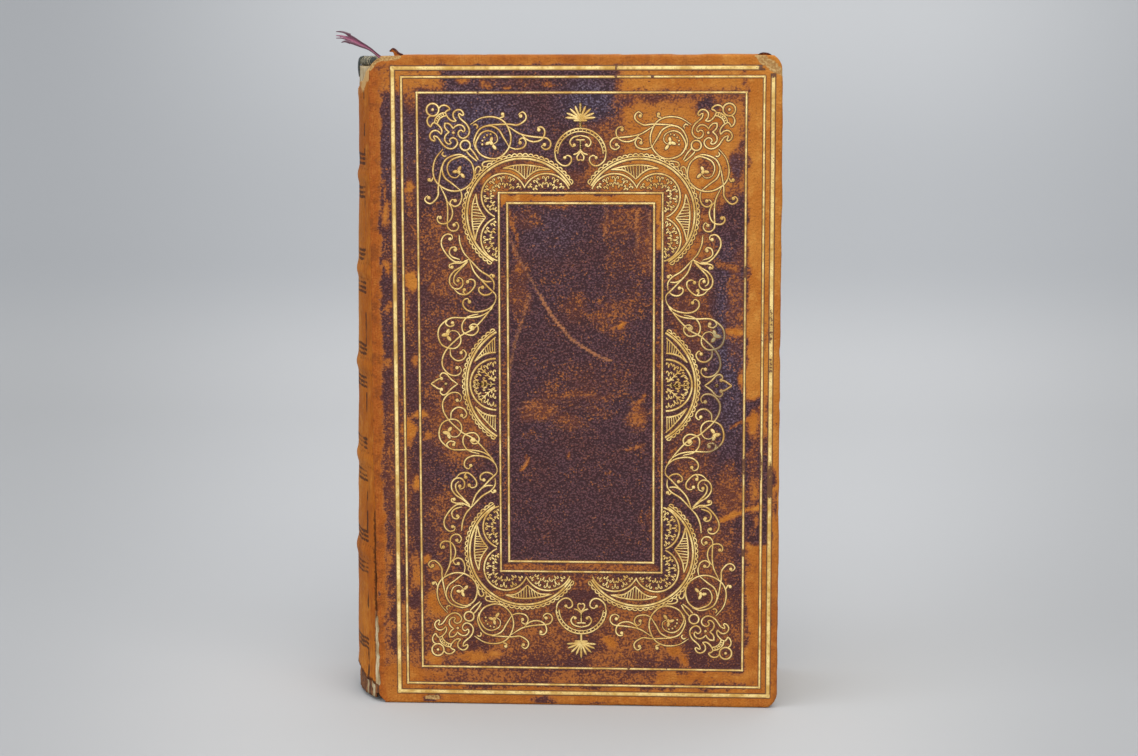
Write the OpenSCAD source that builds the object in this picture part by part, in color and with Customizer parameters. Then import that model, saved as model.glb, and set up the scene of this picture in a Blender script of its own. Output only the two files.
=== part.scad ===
// Antique bible in full leather, standing upright on the tail edges of its two covers.
// The spine faces -X, the front cover faces -Y and the head points up.

/* [Covers] */
// Height of a cover from head to tail
cover_h = 180; // [150:1:230]
// Width of a cover from the spine edge of its board to the fore-edge
cover_w = 109.5; // [90:0.5:150]
// Thickness of the closed book over both covers
book_t = 44; // [36:1:60]
// Thickness of the millboard in a cover
board_t = 2.4; // [1.6:0.1:4]
// Thickness of the leather on a cover
leather_t = 0.8; // [0.6:0.1:1.2]
// Radius of the rounded corners at the fore-edge
corner_r = 3; // [2:0.5:6]
// Rounding along the outer edges of the leather
edge_r = 0.7; // [0.3:0.1:1]
// Width of the leather turned in on the inside of a cover
turn_in_w = 9; // [5:0.5:14]
// Thickness of the turned-in leather and of the paper pasted between it
turn_in_t = 0.5; // [0.3:0.1:0.8]

/* [Joints] */
// Distance from a board's spine edge to the line that its cover turns on
joint_w = 2.2; // [1.8:0.1:4]
// Free gap between the two leather lips of a joint
joint_gap = 0.3; // [0.2:0.05:0.6]
// Height of the split at the tail of the front joint
split_h = 40; // [20:1:80]
// Width of that split where it is widest
split_w = 1.3; // [0.6:0.1:2]

/* [Text block] */
// Distance that the covers stand past the pages at head, tail and fore-edge
square_w = 3; // [2:0.25:5]
// Depth of the hollow in the fore-edge
fore_hollow = 5; // [2:0.5:8]
// Gap between the pages and the inside of a closed cover
page_gap = 0.25; // [0.15:0.05:0.5]

/* [Spine] */
// Distance that the rounded back stands past the joint lines
spine_round = 6.9; // [4:0.1:10]
// Thickness of the leather on the spine
spine_leather_t = 0.9; // [0.6:0.1:1.2]
// Thickness of the paper and cloth lining under it
lining_t = 0.4; // [0.3:0.1:0.8]
// Number of raised bands
band_count = 5; // [3:1:6]
// Height of the lowest band above the tail
first_band_z = 42; // [36:1:48]
// Distance from one band to the next
band_pitch = 26.3; // [20:0.1:28]
// Width of a raised band at its foot
band_w = 3.8; // [3:0.1:5]
// Height of a raised band over the spine's panels
band_h = 0.6; // [0.5:0.1:1.8]
// Length of leather lost from the head of the spine
head_loss = 10; // [4:0.5:16]
// Length of leather lost from the tail of the spine
tail_loss = 6; // [3:0.5:12]
// Diameter of the bands sewn at head and tail
endband_d = 2.6; // [1.8:0.1:3.6]

/* [Ribbon] */
// Width of the ribbon where it is flat
ribbon_w = 3.4; // [2:0.1:6]
// Thickness of the ribbon
ribbon_t = 0.3; // [0.2:0.05:0.6]
// Distance that the frayed end reaches past the spine's leather
ribbon_reach = 4.8; // [2:0.1:8]
// Height of the frayed end above the covers
ribbon_rise = 6.3; // [3:0.1:10]

/* [Gilt tooling] */
// Width of the heavy outer rule
heavy_rule_w = 1.05; // [0.6:0.05:1.6]
// Width of the fine rules
fine_rule_w = 0.6; // [0.3:0.05:1]
// Width of a line in the scrolls
scroll_w = 0.42; // [0.25:0.01:0.6]
// Distance from the head and tail of a cover to the middle of the outer rule
rule_margin = 3.5; // [2:0.1:8]
// Distance from the fore-edge to the middle of the outer rule
rule_fore_margin = 2.75; // [2:0.05:8]
// Distance from the board's spine edge to the middle of the outer rule
rule_spine_margin = 4.05; // [2:0.05:8]
// Thickness of the gold
gilt_t = 0.1; // [0.05:0.01:0.2]

/* [Hidden] */
$fn = 96;

// Fineness of the shapes inside a hull
hull_fn = 32;
// Overrun of every cut
overrun = 1;
// Room for paste between layers that lie on each other
paste_gap = 0.05;

// Colours of the materials
worn_tan = "#B4702F";
dark_morocco = "#43292C";
millboard = "#B9AA8C";
lining_paper = "#C9B58B";
page_edge = "#C8A650";
endpaper = "#D8C9A4";
hemp = "#A98F62";
silk_green = "#2E3A33";
ribbon_plum = "#7A2B4A";
gold = "#D9B45B";

// Cover layers, measured in from the front face
cover_t = leather_t + board_t + turn_in_t;
front_y = -book_t / 2;
board_y = front_y + leather_t;
turn_in_y = board_y + board_t;

// Hinge lines, in the middle of the leather that bends
lip_r = leather_t / 2;
hinge_x = -joint_w;
hinge_y = front_y + lip_r;

// The rounded back passes through both hinge lines
spine_r = (hinge_y * hinge_y + spine_round * spine_round) / (2 * spine_round);
spine_x = hinge_x - spine_round + spine_r;
lining_r = spine_r - spine_leather_t - paste_gap;
block_r = lining_r - lining_t - paste_gap;

// Pages
block_t = book_t - 2 * cover_t - 2 * page_gap;
block_fore_x = cover_w - square_w;
block_z = square_w;
block_top_z = cover_h - square_w;
// Gap between the shoulder of the pages and the board and leather beside it
shoulder_gap = 0.3;
shoulder_half_t = book_t / 2 - leather_t - shoulder_gap;
fore_r = (block_t * block_t / 4 + fore_hollow * fore_hollow) / (2 * fore_hollow);

// Raised bands: a round section through the leather, and the cord inside it
band_r = (band_w * band_w / 4 + band_h * band_h) / (2 * band_h);
band_centre_r = spine_r + band_h - band_r;
cord_r = band_r - spine_leather_t - paste_gap;
// The spine's leather ends short of the hinge lines, clear of the lips that turn there
spine_half_t = -hinge_y - lip_r - joint_gap;
band_sweep = asin(-hinge_y / spine_r);
cord_half_angle = asin((spine_half_t - joint_gap) / spine_r);

// Joint strip: the leather between a board and its hinge line
strip_z = edge_r;
strip_top_loss_share = 0.65;
strip_h = cover_h - strip_z - strip_top_loss_share * head_loss;
strip_overlap = leather_t;

// Sewn bands at head and tail sit on the ends of the pages
endband_r = block_r - paste_gap;
endband_half_angle = asin(block_t / 2 / endband_r);
endband_seat = endband_d / 2 + paste_gap;

// The lining shows where leather is lost, and stops just short of the covers' ends
lining_inset = 1;
lining_half_t_share = 0.96;

// Gold rules, from the outer one in: distance in from the first rule, and width
second_rule_in = 2.35;
third_rule_in = 6.5;
rule_half_w = (cover_w - rule_fore_margin - rule_spine_margin) / 2;
rule_half_h = cover_h / 2 - rule_margin;
rule_x = rule_spine_margin + rule_half_w;
field_half_w = rule_half_w - third_rule_in;
field_half_h = rule_half_h - third_rule_in;
// Central panel, as shares of the field that the third rule encloses
panel_w_share = 0.495;
panel_h_share = 0.655;
panel_rule_in = 2.3;
panel_half_w = panel_w_share * field_half_w;
panel_half_h = panel_h_share * field_half_h;

// The ribbon's tip sets the left end of the part, and the origin lies midway
tip_x = hinge_x - spine_round - ribbon_reach;
origin_x = -(tip_x + cover_w) / 2;

// Places the book so that the origin is at the middle of its foot
module placed() {
    translate([origin_x, 0, 0]) children();
}

// The same piece on the other cover
module on_back() {
    mirror([0, 1, 0]) children();
}

// Flat outline of a plate whose two corners at the fore-edge are round
module plate_outline(w, h, r) {
    square([w - r, h]);
    translate([0, r]) square([w, h - 2 * r]);
    for (z = [r, h - r]) translate([w - r, z]) circle(r);
}

// A plate that stands on edge, from y to y + t
module plate(x, y, z, w, h, t, r) {
    translate([x, y + t, z]) rotate([90, 0, 0]) linear_extrude(t) plate_outline(w, h, r);
}

// A block that stands on edge, from y to y + t
module block(x, y, z, w, h, t) {
    translate([x, y, z]) cube([w, t, h]);
}

// A round section swept about the axis of the spine, centred on its back
module spine_sweep(half_angle) {
    translate([spine_x, 0, 0])
        rotate([0, 0, 180 - half_angle])
            rotate_extrude(angle = 2 * half_angle) children();
}

// Pages, rounded and backed: a convex spine with shoulders, and a hollow fore-edge
module text_block() {
    color(page_edge) placed()
        translate([0, 0, block_z]) linear_extrude(block_top_z - block_z) difference() {
            union() {
                translate([-shoulder_gap, -block_t / 2])
                    square([block_fore_x + shoulder_gap, block_t]);
                intersection() {
                    translate([spine_x, 0]) circle(block_r);
                    translate([spine_x - block_r, -shoulder_half_t])
                        square([block_r - spine_x - shoulder_gap, 2 * shoulder_half_t]);
                }
            }
            translate([block_fore_x - fore_hollow + fore_r, 0]) circle(fore_r);
        }
}

// Paper and cloth glued over the back of the pages
module spine_lining() {
    half_t = lining_half_t_share * shoulder_half_t;
    color(lining_paper) placed()
        translate([0, 0, lining_inset])
            linear_extrude(block_top_z - lining_inset) intersection() {
                translate([spine_x, 0]) difference() {
                    circle(lining_r);
                    circle(lining_r - lining_t);
                }
                translate([spine_x - lining_r - overrun, -half_t])
                    square([lining_r, 2 * half_t]);
            }
}

function band_z(i) = first_band_z + i * band_pitch;

// Cords that raise the bands, laid on the lining
module band_cords() {
    color(hemp) placed()
        for (i = [0 : band_count - 1])
            translate([0, 0, band_z(i)])
                spine_sweep(cord_half_angle) intersection() {
                    translate([band_centre_r, 0]) circle(cord_r);
                    translate([lining_r + paste_gap, -band_w]) square([band_w, 2 * band_w]);
                }
}

// A band of silk wound over a core, at one end of the pages
module endband(z) {
    color(silk_green) placed()
        translate([0, 0, z])
            spine_sweep(endband_half_angle) translate([endband_r - endband_d / 2, 0]) circle(endband_d / 2);
}

module head_band() {
    endband(block_top_z + endband_seat);
}

module tail_band() {
    endband(block_z - endband_seat);
}

// Outline of the leather lost at an end of the spine: shares of the half thickness across, of the loss down
head_tear_shares = [
    [-1, 0.38], [-0.9, 0.5], [-0.76, 0.7], [-0.5, 0.84], [-0.3, 1], [-0.1, 0.9], [0.1, 0.96],
    [0.34, 0.8], [0.52, 0.86], [0.7, 0.66], [0.88, 0.72], [1, 0.56]
];
tail_tear_shares = [
    [-1, 0.85], [-0.85, 1], [-0.66, 0.92], [-0.5, 1], [-0.28, 0.86], [-0.12, 0.74], [0.1, 0.8],
    [0.3, 0.62], [0.55, 0.7], [0.75, 0.5], [1, 0.58]
];

// Ragged cut through the spine's leather; dir is 1 at the tail and -1 at the head
module tear(shares, loss, end_z, dir) {
    half = book_t / 2;
    edge = [for (s = shares) [s[0] * half, end_z + dir * s[1] * loss]];
    rotate([90, 0, 90])
        translate([0, 0, hinge_x - spine_round - band_w])
            linear_extrude(spine_round + band_w + joint_w)
                polygon(concat([[-half, end_z - dir * overrun]], edge, [[half, end_z - dir * overrun]]));
}

// The split at the tail of the front joint widens downwards; shares of its height and of its width
split_shares = [[1, -0.1], [0.72, 0.3], [0.55, 0.55], [0.4, 1], [0.2, 0.92], [0, 1]];

module joint_split() {
    edge = [for (s = split_shares) [s[1] * split_w - spine_half_t, s[0] * split_h]];
    rotate([90, 0, 90])
        translate([0, 0, hinge_x - spine_round])
            linear_extrude(spine_round + joint_w)
                polygon(concat([[front_y - overrun, split_h]], edge, [[front_y - overrun, 0]]));
}

// Leather of the rounded back, moulded over the raised bands and worn away at head, tail and joint
module spine_leather() {
    inner_r = spine_r - spine_leather_t;
    color(worn_tan) placed() difference() {
        intersection() {
            union() {
                translate([spine_x, 0, 0]) difference() {
                    cylinder(h = cover_h, r = spine_r);
                    translate([0, 0, -overrun]) cylinder(h = cover_h + 2 * overrun, r = inner_r);
                }
                for (i = [0 : band_count - 1])
                    translate([0, 0, band_z(i)])
                        spine_sweep(band_sweep) intersection() {
                            translate([band_centre_r, 0]) circle(band_r);
                            translate([spine_r - spine_leather_t / 2, -band_w]) square([band_w, 2 * band_w]);
                        }
            }
            translate([hinge_x - spine_round - band_w, -spine_half_t, -overrun])
                cube([spine_round + band_w + lip_r, 2 * spine_half_t, cover_h + 2 * overrun]);
        }
        for (i = [0 : band_count - 1])
            translate([0, 0, band_z(i)])
                spine_sweep(band_sweep) intersection() {
                    translate([band_centre_r, 0]) circle(cord_r + paste_gap);
                    translate([inner_r - spine_leather_t, -band_w]) square([band_w, 2 * band_w]);
                }
        tear(head_tear_shares, head_loss, cover_h, -1);
        tear(tail_tear_shares, tail_loss, 0, 1);
        joint_split();
    }
}

// Board of a cover, bare at its spine edge
module board() {
    inset = leather_t + paste_gap;
    color(millboard) placed()
        plate(0, board_y, inset, cover_w - inset, cover_h - 2 * inset, board_t, corner_r - leather_t);
}

// Disc with a rounded rim: one corner of a covered board, lying in the XY plane
module soft_disc() {
    rotate_extrude($fn = hull_fn) {
        square([corner_r - edge_r, cover_t]);
        translate([0, edge_r]) square([corner_r, cover_t - 2 * edge_r]);
        for (y = [edge_r, cover_t - edge_r])
            translate([corner_r - edge_r, y]) circle(edge_r, $fn = hull_fn);
    }
}

// Outer form of a covered board, with soft edges at head, tail and fore-edge
module cover_form() {
    hull() {
        for (z = [corner_r, cover_h - corner_r])
            translate([cover_w - corner_r, front_y + cover_t, z]) rotate([90, 0, 0]) soft_disc();
        for (z = [edge_r, cover_h - edge_r])
            for (y = [front_y + edge_r, front_y + cover_t - edge_r])
                translate([0, y, z]) rotate([0, 90, 0]) cylinder(h = edge_r, r = edge_r, $fn = hull_fn);
    }
}

// Bends from the cover's face to the hinge line, and ends in a round lip on it
module joint_strip() {
    translate([0, 0, strip_z]) linear_extrude(strip_h) {
        translate([hinge_x, front_y]) square([joint_w + strip_overlap, leather_t]);
        translate([hinge_x, hinge_y]) circle(lip_r);
    }
}

// Bare corners of the front cover; shares of the corner radius, in from the corner
worn_fore_shares = [[2.1, -1], [1.7, 0.5], [1.1, 0.75], [0.7, 1.2], [0.55, 1.8], [-1, 2.3], [-1, -1]];
worn_spine_shares = [[-1, -1], [-1, 1.3], [0.4, 1.05], [1.2, 0.55], [2.3, 0.4], [2.8, -1]];

// Cuts the leather, and not the board, away from a worn corner at the head
module worn_corner(x, dir, shares) {
    translate([x, board_y, cover_h]) rotate([90, 0, 0])
        linear_extrude(leather_t + overrun)
            polygon([for (s = shares) [dir * s[0] * corner_r, -s[1] * corner_r]]);
}

// Torn flake that stands up at the head, near the spine; shares of its width and height
flake_w = 3.4;
flake_h = 2;
flake_x = 4.4;
flake_shares = [[0, 0.55], [0.3, 1], [0.62, 0.7], [0.75, 0.2], [1, 0.3], [0.94, 0], [0.6, -0.5], [0.35, -0.5]];

module flake() {
    translate([flake_x, board_y, cover_h]) rotate([90, 0, 0])
        linear_extrude(leather_t - edge_r / 2)
            polygon([for (s = flake_shares) [s[0] * flake_w, s[1] * flake_h]]);
}

// Leather over a board: its face, three edges and the turn-ins, with the strip that hinges it
module cover_leather(worn) {
    inset = leather_t;
    difference() {
        union() {
            cover_form();
            joint_strip();
        }
        plate(-overrun, board_y, inset, cover_w - inset + overrun, cover_h - 2 * inset,
              board_t + paste_gap, corner_r - leather_t);
        block(-overrun, turn_in_y, turn_in_w, cover_w - turn_in_w + overrun, cover_h - 2 * turn_in_w,
              turn_in_t + overrun);
        if (worn) {
            worn_corner(cover_w, -1, worn_fore_shares);
            worn_corner(0, 1, worn_spine_shares);
        }
    }
    if (worn) flake();
}

// Paper pasted on the inside of a cover, between the turn-ins
module pastedown() {
    color(endpaper) placed()
        block(0, turn_in_y + paste_gap, turn_in_w + paste_gap, cover_w - turn_in_w - paste_gap,
              cover_h - 2 * (turn_in_w + paste_gap), turn_in_t - paste_gap);
}

module front_board() {
    board();
}

module front_leather() {
    color(dark_morocco) placed() cover_leather(true);
}

module front_pastedown() {
    pastedown();
}

module back_board() {
    on_back() board();
}

module back_leather() {
    color(dark_morocco) placed() on_back() cover_leather(false);
}

module back_pastedown() {
    on_back() pastedown();
}

// One gold rule round a rectangle, lying in the XY plane
module rule(half_w, half_h, w) {
    linear_extrude(gilt_t) difference() {
        square([2 * half_w + w, 2 * half_h + w], center = true);
        square([2 * half_w - w, 2 * half_h - w], center = true);
    }
}

// Points along an arc of any radius
function arc_points(r, start, sweep, steps) = [
    for (i = [0 : steps]) r * [cos(start + sweep * i / steps), sin(start + sweep * i / steps)]
];

// A gold arc, in short straight cuts like those of a finishing tool
module gold_arc(centre, r, start, sweep, w) {
    steps = max(2, ceil(abs(sweep) / (r > curl_limit_share * field_half_h ? long_cut : curl_cut)));
    translate(centre) linear_extrude(gilt_t)
        polygon(concat(
            arc_points(r + w / 2, start, sweep, steps),
            arc_points(r - w / 2, start + sweep, -sweep, steps)
        ));
}

// Point of the field from its shares of the half width and half height
function at(share) = [share[0] * field_half_w, share[1] * field_half_h];

// A gold stem from one place to another, bowed to its left by a share of its length
module stem(row) {
    p = at([row[0], row[1]]);
    q = at([row[2], row[3]]);
    bow = row[4];
    chord = norm(q - p);
    rise = bow * chord;
    r = (chord * chord / 4 + rise * rise) / (2 * abs(rise));
    side = [p[1] - q[1], q[0] - p[0]] / chord;
    centre = (p + q) / 2 + side * (rise - sign(rise) * r);
    first = bow > 0 ? q - centre : p - centre;
    gold_arc(centre, r, atan2(first[1], first[0]), 4 * atan(2 * abs(bow)), scroll_w);
}

// A curl: a ring that is open on one side
module curl(row) {
    gold_arc(at([row[0], row[1]]), row[2] * field_half_h, row[3], curl_sweep, scroll_w);
}

// A volute: three arcs, each tighter than the last, that join without a corner
module volute(row) {
    dir = row[5];
    r = [for (share = volute_r_shares) share * row[2] * field_half_h];
    turn = [row[3], row[3] + dir * row[4], row[3] + dir * (row[4] + volute_turn)];
    c0 = at([row[0], row[1]]);
    c1 = c0 + (r[0] - r[1]) * [cos(turn[1]), sin(turn[1])];
    c2 = c1 + (r[1] - r[2]) * [cos(turn[2]), sin(turn[2])];
    gold_arc(c0, r[0], turn[0], dir * row[4], scroll_w);
    gold_arc(c1, r[1], turn[1], dir * volute_turn, scroll_w);
    gold_arc(c2, r[2], turn[2], dir * volute_turn, scroll_w);
}

// Straight gold cuts that fan out between two radii
module fan(centre, first, last, inner, outer, count) {
    for (i = [0 : count - 1])
        translate(centre) rotate(first + (last - first) * i / (count - 1))
            translate([inner, -scroll_w / 2]) cube([outer - inner, scroll_w, gilt_t]);
}

// Turn of one straight cut in a small curl and in a longer arc, and the radius that parts them
curl_cut = 41;
long_cut = 24;
curl_limit_share = 0.04;
curl_sweep = 285;
volute_turn = 180;
volute_r_shares = [1, 0.69, 0.36];

// Scrolls of one quarter, with u out to the side and v up to the head, as shares of the field.
// Volutes: u, v, radius as a share of the half height, first angle, first sweep, direction.
volute_shares = [
    [0.538, 0.841, 0.070, 40, 230, 1], [0.768, 0.729, 0.070, 57, 230, -1],
    [0.802, 0.165, 0.040, 70, 190, -1], [0.757, 0.352, 0.0245, 60, 180, -1]
];
// Curls: u, v, radius, angle where the ring starts.
curl_shares = [
    [0.893, 0.938, 0.0225, -93], [0.697, 0.818, 0.0165, 0], [0.353, 0.825, 0.014, 200],
    [0.211, 0.820, 0.016, 100], [0.246, 0.865, 0.014, 160], [0.768, 0.548, 0.015, 120],
    [0.860, 0.572, 0.014, 40], [0.813, 0.498, 0.0175, 250], [0.677, 0.340, 0.019, 300],
    [0.688, 0.276, 0.0175, 320], [0.739, 0.104, 0.021, 100], [0.084, 0.768, 0.016, 110]
];
// Stems: from u, v to u, v, and the bow to the left as a share of the length.
stem_shares = [
    [0.437, 0.880, 0.236, 0.846, -0.12], [0.430, 0.812, 0.353, 0.811, -0.12],
    [0.355, 0.850, 0.246, 0.851, -0.2], [0.862, 0.685, 0.830, 0.572, 0.10],
    [0.815, 0.600, 0.768, 0.533, 0.16], [0.692, 0.434, 0.826, 0.482, 0.24],
    [0.692, 0.434, 0.745, 0.520, 0.10], [0.692, 0.430, 0.800, 0.372, -0.18],
    [0.692, 0.430, 0.517, 0.296, -0.06], [0.517, 0.292, 0.688, 0.258, -0.16],
    [0.520, 0.286, 0.786, 0.205, -0.12], [0.545, 0.262, 0.700, 0.180, 0.04],
    [0.700, 0.180, 0.850, 0.090, 0.10], [0.850, 0.090, 0.760, 0.034, 0.36],
    [0.748, 0, 0.850, 0.036, 0.10], [0.850, 0.036, 0.918, 0, 0.16]
];
// Lunette at each corner of the panel: centre, and radii with the line's widths
lunette_share = [0.351, 0.585];
lunette_r_shares = [0.191, 0.174];
lunette_start = -57;
lunette_sweep = 200;
// Lobes inside it: u, v, radius, first angle, sweep
lobe_shares = [
    [0.465, 0.645, 0.075, -65, 225], [0.206, 0.640, 0.082, 27, 124], [0.470, 0.499, 0.076, -70, 141]
];
// Fans between the lobes and the lunette: u, v, first and last angle, inner and outer radius
fan_shares = [[0.331, 0.640, 58, 122, 0.076, 0.115], [0.505, 0.572, -32, 32, 0.02, 0.06]];
fan_count = 5;
// Half rosette beside the panel: u of the centre, radius and sweep above the middle
rosette_shares = [[0.353, 0.192, 62], [0.521, 0.106, 90], [0.521, 0.09, 90]];
rosette_fan_share = [0.521, 36, 76, 0.12, 0.158];
// Arch over the middle of the head and foot, and its palmette
arch_share = [0, 0.786];
arch_r_shares = [0.0875, 0.079];
palmette_share = 0.906;
palmette_ray_share = 0.05;
palmette_ray_count = 9;
palmette_spread = 172;
palmette_stem_share = 0.032;

// The part of the tooling that repeats, mirrored, in each quarter of a cover
module gilt_quarter() {
    for (row = volute_shares) volute(row);
    for (row = curl_shares) curl(row);
    for (row = stem_shares) stem(row);
    for (i = [0, 1])
        gold_arc(at(lunette_share), lunette_r_shares[i] * field_half_h, lunette_start, lunette_sweep,
                 i == 0 ? fine_rule_w : scroll_w);
    for (row = lobe_shares)
        gold_arc(at([row[0], row[1]]), row[2] * field_half_h, row[3], row[4], scroll_w);
    for (row = rosette_shares)
        gold_arc(at([row[0], 0]), row[1] * field_half_h, 0, row[2], fine_rule_w);
    for (row = fan_shares)
        fan(at([row[0], row[1]]), row[2], row[3], row[4] * field_half_h, row[5] * field_half_h, fan_count);
    fan(at([rosette_fan_share[0], 0]), rosette_fan_share[1], rosette_fan_share[2],
        rosette_fan_share[3] * field_half_h, rosette_fan_share[4] * field_half_h, fan_count);
}

// Arch and palmette on the middle line, at the head
module gilt_crest() {
    for (share = arch_r_shares)
        gold_arc(at(arch_share), share * field_half_h, 0, 180, scroll_w);
    fan(at([0, palmette_share]), 90 - palmette_spread / 2, 90 + palmette_spread / 2, 0,
        palmette_ray_share * field_half_h, palmette_ray_count);
    translate(at([0, palmette_share])) translate([-scroll_w / 2, -palmette_stem_share * field_half_h])
        cube([scroll_w, palmette_stem_share * field_half_h, gilt_t]);
}

// Five plain rules, one inside the other
module gilt_rules() {
    rule(rule_half_w, rule_half_h, heavy_rule_w);
    rule(rule_half_w - second_rule_in, rule_half_h - second_rule_in, fine_rule_w);
    rule(field_half_w, field_half_h, fine_rule_w);
    rule(panel_half_w, panel_half_h, fine_rule_w);
    rule(panel_half_w - panel_rule_in, panel_half_h - panel_rule_in, fine_rule_w);
}

// Scrolls, lunettes and crests of the front cover
module gilt_scrolls() {
    for (mx = [0, 1]) mirror([mx, 0, 0])
        for (my = [0, 1]) mirror([0, my, 0]) gilt_quarter();
    for (my = [0, 1]) mirror([0, my, 0]) gilt_crest();
}

// Gold on the face of the front cover
module on_face() {
    color(gold) placed()
        translate([rule_x, front_y, cover_h / 2]) rotate([90, 0, 0]) children();
}

module front_gilt() {
    on_face() {
        gilt_rules();
        gilt_scrolls();
    }
}

module back_gilt() {
    on_back() on_face() gilt_rules();
}

// Route of the ribbon from the head of the pages to its frayed end: shares of its run and rise,
// a share of the half thickness across, a share of its width, and its roll
ribbon_shares = [
    [0, 0, -0.40, 0.9, 6], [0.13, 0.05, -0.40, 0.9, 16], [0.26, 0.22, -0.39, 0.8, 44], [0.42, 0.5, -0.38, 0.75, 62],
    [0.58, 0.74, -0.36, 0.9, 66], [0.72, 0.88, -0.34, 1, 62], [0.82, 0.93, -0.33, 1, 60]
];
// Frayed tails: end of each as shares of the run and rise, its start and end across the ribbon
fray_shares = [[0.93, 0.72, -0.5, -0.22], [0.98, 0.88, -0.18, 0.12], [1, 1.06, 0.16, 0.5]];
fray_tip_share = 0.22;
ribbon_start_x = 6;
ribbon_start_z = block_top_z + ribbon_t;
ribbon_run = ribbon_start_x - tip_x;
ribbon_climb = cover_h + ribbon_rise - ribbon_start_z;

// A point of the ribbon at one station: s runs from -0.5 to 0.5 across it, lift stands off its middle
function ribbon_point(row, s, lift) = [
    ribbon_start_x - row[0] * ribbon_run,
    row[2] * block_t / 2 + s * row[3] * ribbon_w * cos(row[4]) - lift * sin(row[4]),
    ribbon_start_z + row[1] * ribbon_climb + s * row[3] * ribbon_w * sin(row[4]) + lift * cos(row[4])
];

// Closed band through rings of four corners
module band(rings) {
    count = len(rings);
    points = [for (ring = rings) for (p = ring) p];
    sides = [
        for (i = [0 : count - 2]) for (k = [0 : 3])
            [4 * i + k, 4 * i + (k + 1) % 4, 4 * (i + 1) + (k + 1) % 4, 4 * (i + 1) + k]
    ];
    last = 4 * (count - 1);
    polyhedron(points, concat([[3, 2, 1, 0]], sides, [[last, last + 1, last + 2, last + 3]]));
}

function ribbon_ring(row, s0, s1) = [
    ribbon_point(row, s0, -ribbon_t / 2), ribbon_point(row, s1, -ribbon_t / 2),
    ribbon_point(row, s1, ribbon_t / 2), ribbon_point(row, s0, ribbon_t / 2)
];

// Stub of the marker ribbon, twisted, with three frayed tails
module ribbon_marker() {
    end = ribbon_shares[len(ribbon_shares) - 1];
    before = ribbon_shares[len(ribbon_shares) - 2];
    color(ribbon_plum) placed() {
        band([for (row = ribbon_shares) ribbon_ring(row, -0.5, 0.5)]);
        for (fray = fray_shares) {
            tip = [fray[0], fray[1], end[2], fray_tip_share * end[3], end[4]];
            mid = (before + end) / 2;
            band([ribbon_ring(mid, fray[2], fray[3]), ribbon_ring(end, fray[2], fray[3]), ribbon_ring(tip, -0.5, 0.5)]);
        }
    }
}

text_block();
spine_lining();
band_cords();
head_band();
tail_band();
spine_leather();
ribbon_marker();
front_board();
front_leather();
front_pastedown();
front_gilt();
back_board();
back_leather();
back_pastedown();
back_gilt();
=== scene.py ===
"""Looks of an antique bible: worn full leather, gold tooling, banded spine, frayed ribbon."""
import math

import bmesh
import bpy
import numpy as np
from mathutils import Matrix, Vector


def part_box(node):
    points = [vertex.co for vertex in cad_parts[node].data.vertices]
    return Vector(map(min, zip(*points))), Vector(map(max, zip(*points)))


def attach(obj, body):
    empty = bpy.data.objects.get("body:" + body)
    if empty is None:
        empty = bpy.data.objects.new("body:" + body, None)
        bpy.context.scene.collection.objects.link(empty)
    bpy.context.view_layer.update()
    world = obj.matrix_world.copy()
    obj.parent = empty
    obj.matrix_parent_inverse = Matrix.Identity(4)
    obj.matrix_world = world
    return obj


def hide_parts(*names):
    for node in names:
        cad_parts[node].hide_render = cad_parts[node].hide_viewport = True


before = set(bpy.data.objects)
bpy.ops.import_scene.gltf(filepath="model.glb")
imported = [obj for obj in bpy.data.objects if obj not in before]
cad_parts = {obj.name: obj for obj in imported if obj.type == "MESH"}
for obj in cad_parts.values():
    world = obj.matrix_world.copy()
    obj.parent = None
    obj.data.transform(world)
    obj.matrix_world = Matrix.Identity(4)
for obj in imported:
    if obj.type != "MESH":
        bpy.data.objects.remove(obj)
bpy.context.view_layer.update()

MM = 0.001


def box_mm(node):
    """Lowest and highest corner of a CAD node, in millimetres."""
    return np.round(np.array(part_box(node)) / MM, 2)


# The book's own axes, in millimetres: x from the board's spine edge, y through the thickness, z up.
SHIFT_X = box_mm("front_board")[0][0]
COVER_W = box_mm("back_leather")[1][0] - SHIFT_X
HALF_T, COVER_H = box_mm("back_leather")[1][1:]
COVER_T = HALF_T - box_mm("back_leather")[0][1]
TURN_IN_W = 9.0
EDGE_R = 0.7
# The corners are worn rounder than the boards.
CORNER_R = 4.6
HINGE_X, HINGE_Y = -2.2, 21.6
# The round of the back: its axis, and the radius to the leather's face.
SPINE_X, SPINE_R = 28.16, 37.26
SPINE_SWEEP = math.asin(HINGE_Y / SPINE_R)
# Half the length of the round: noise on the back runs along it.
HALF_ARC = 22
BLOCK_R = 35.86
BLOCK_HALF_T = box_mm("head_band")[1][1]
BLOCK_Z0, BLOCK_Z1 = box_mm("text_block")[:, 2]
FIRST_BAND_Z, BAND_PITCH, BAND_COUNT = 42.0, 26.3, 5
BANDS_Z = [FIRST_BAND_Z + BAND_PITCH * i for i in range(BAND_COUNT)]
# Middle of the gold rules on a cover: places on a cover are (x, up) from here.
RULE_X, RULE_Z = 55.4, COVER_H / 2


# Numbers


def lattice(ix, iy, seed):
    """A fixed pseudo-random value in 0..1 for each whole cell."""
    h = np.sin(ix * 127.1 + iy * 311.7 + seed * 74.7) * 43758.5453
    return h - np.floor(h)


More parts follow.
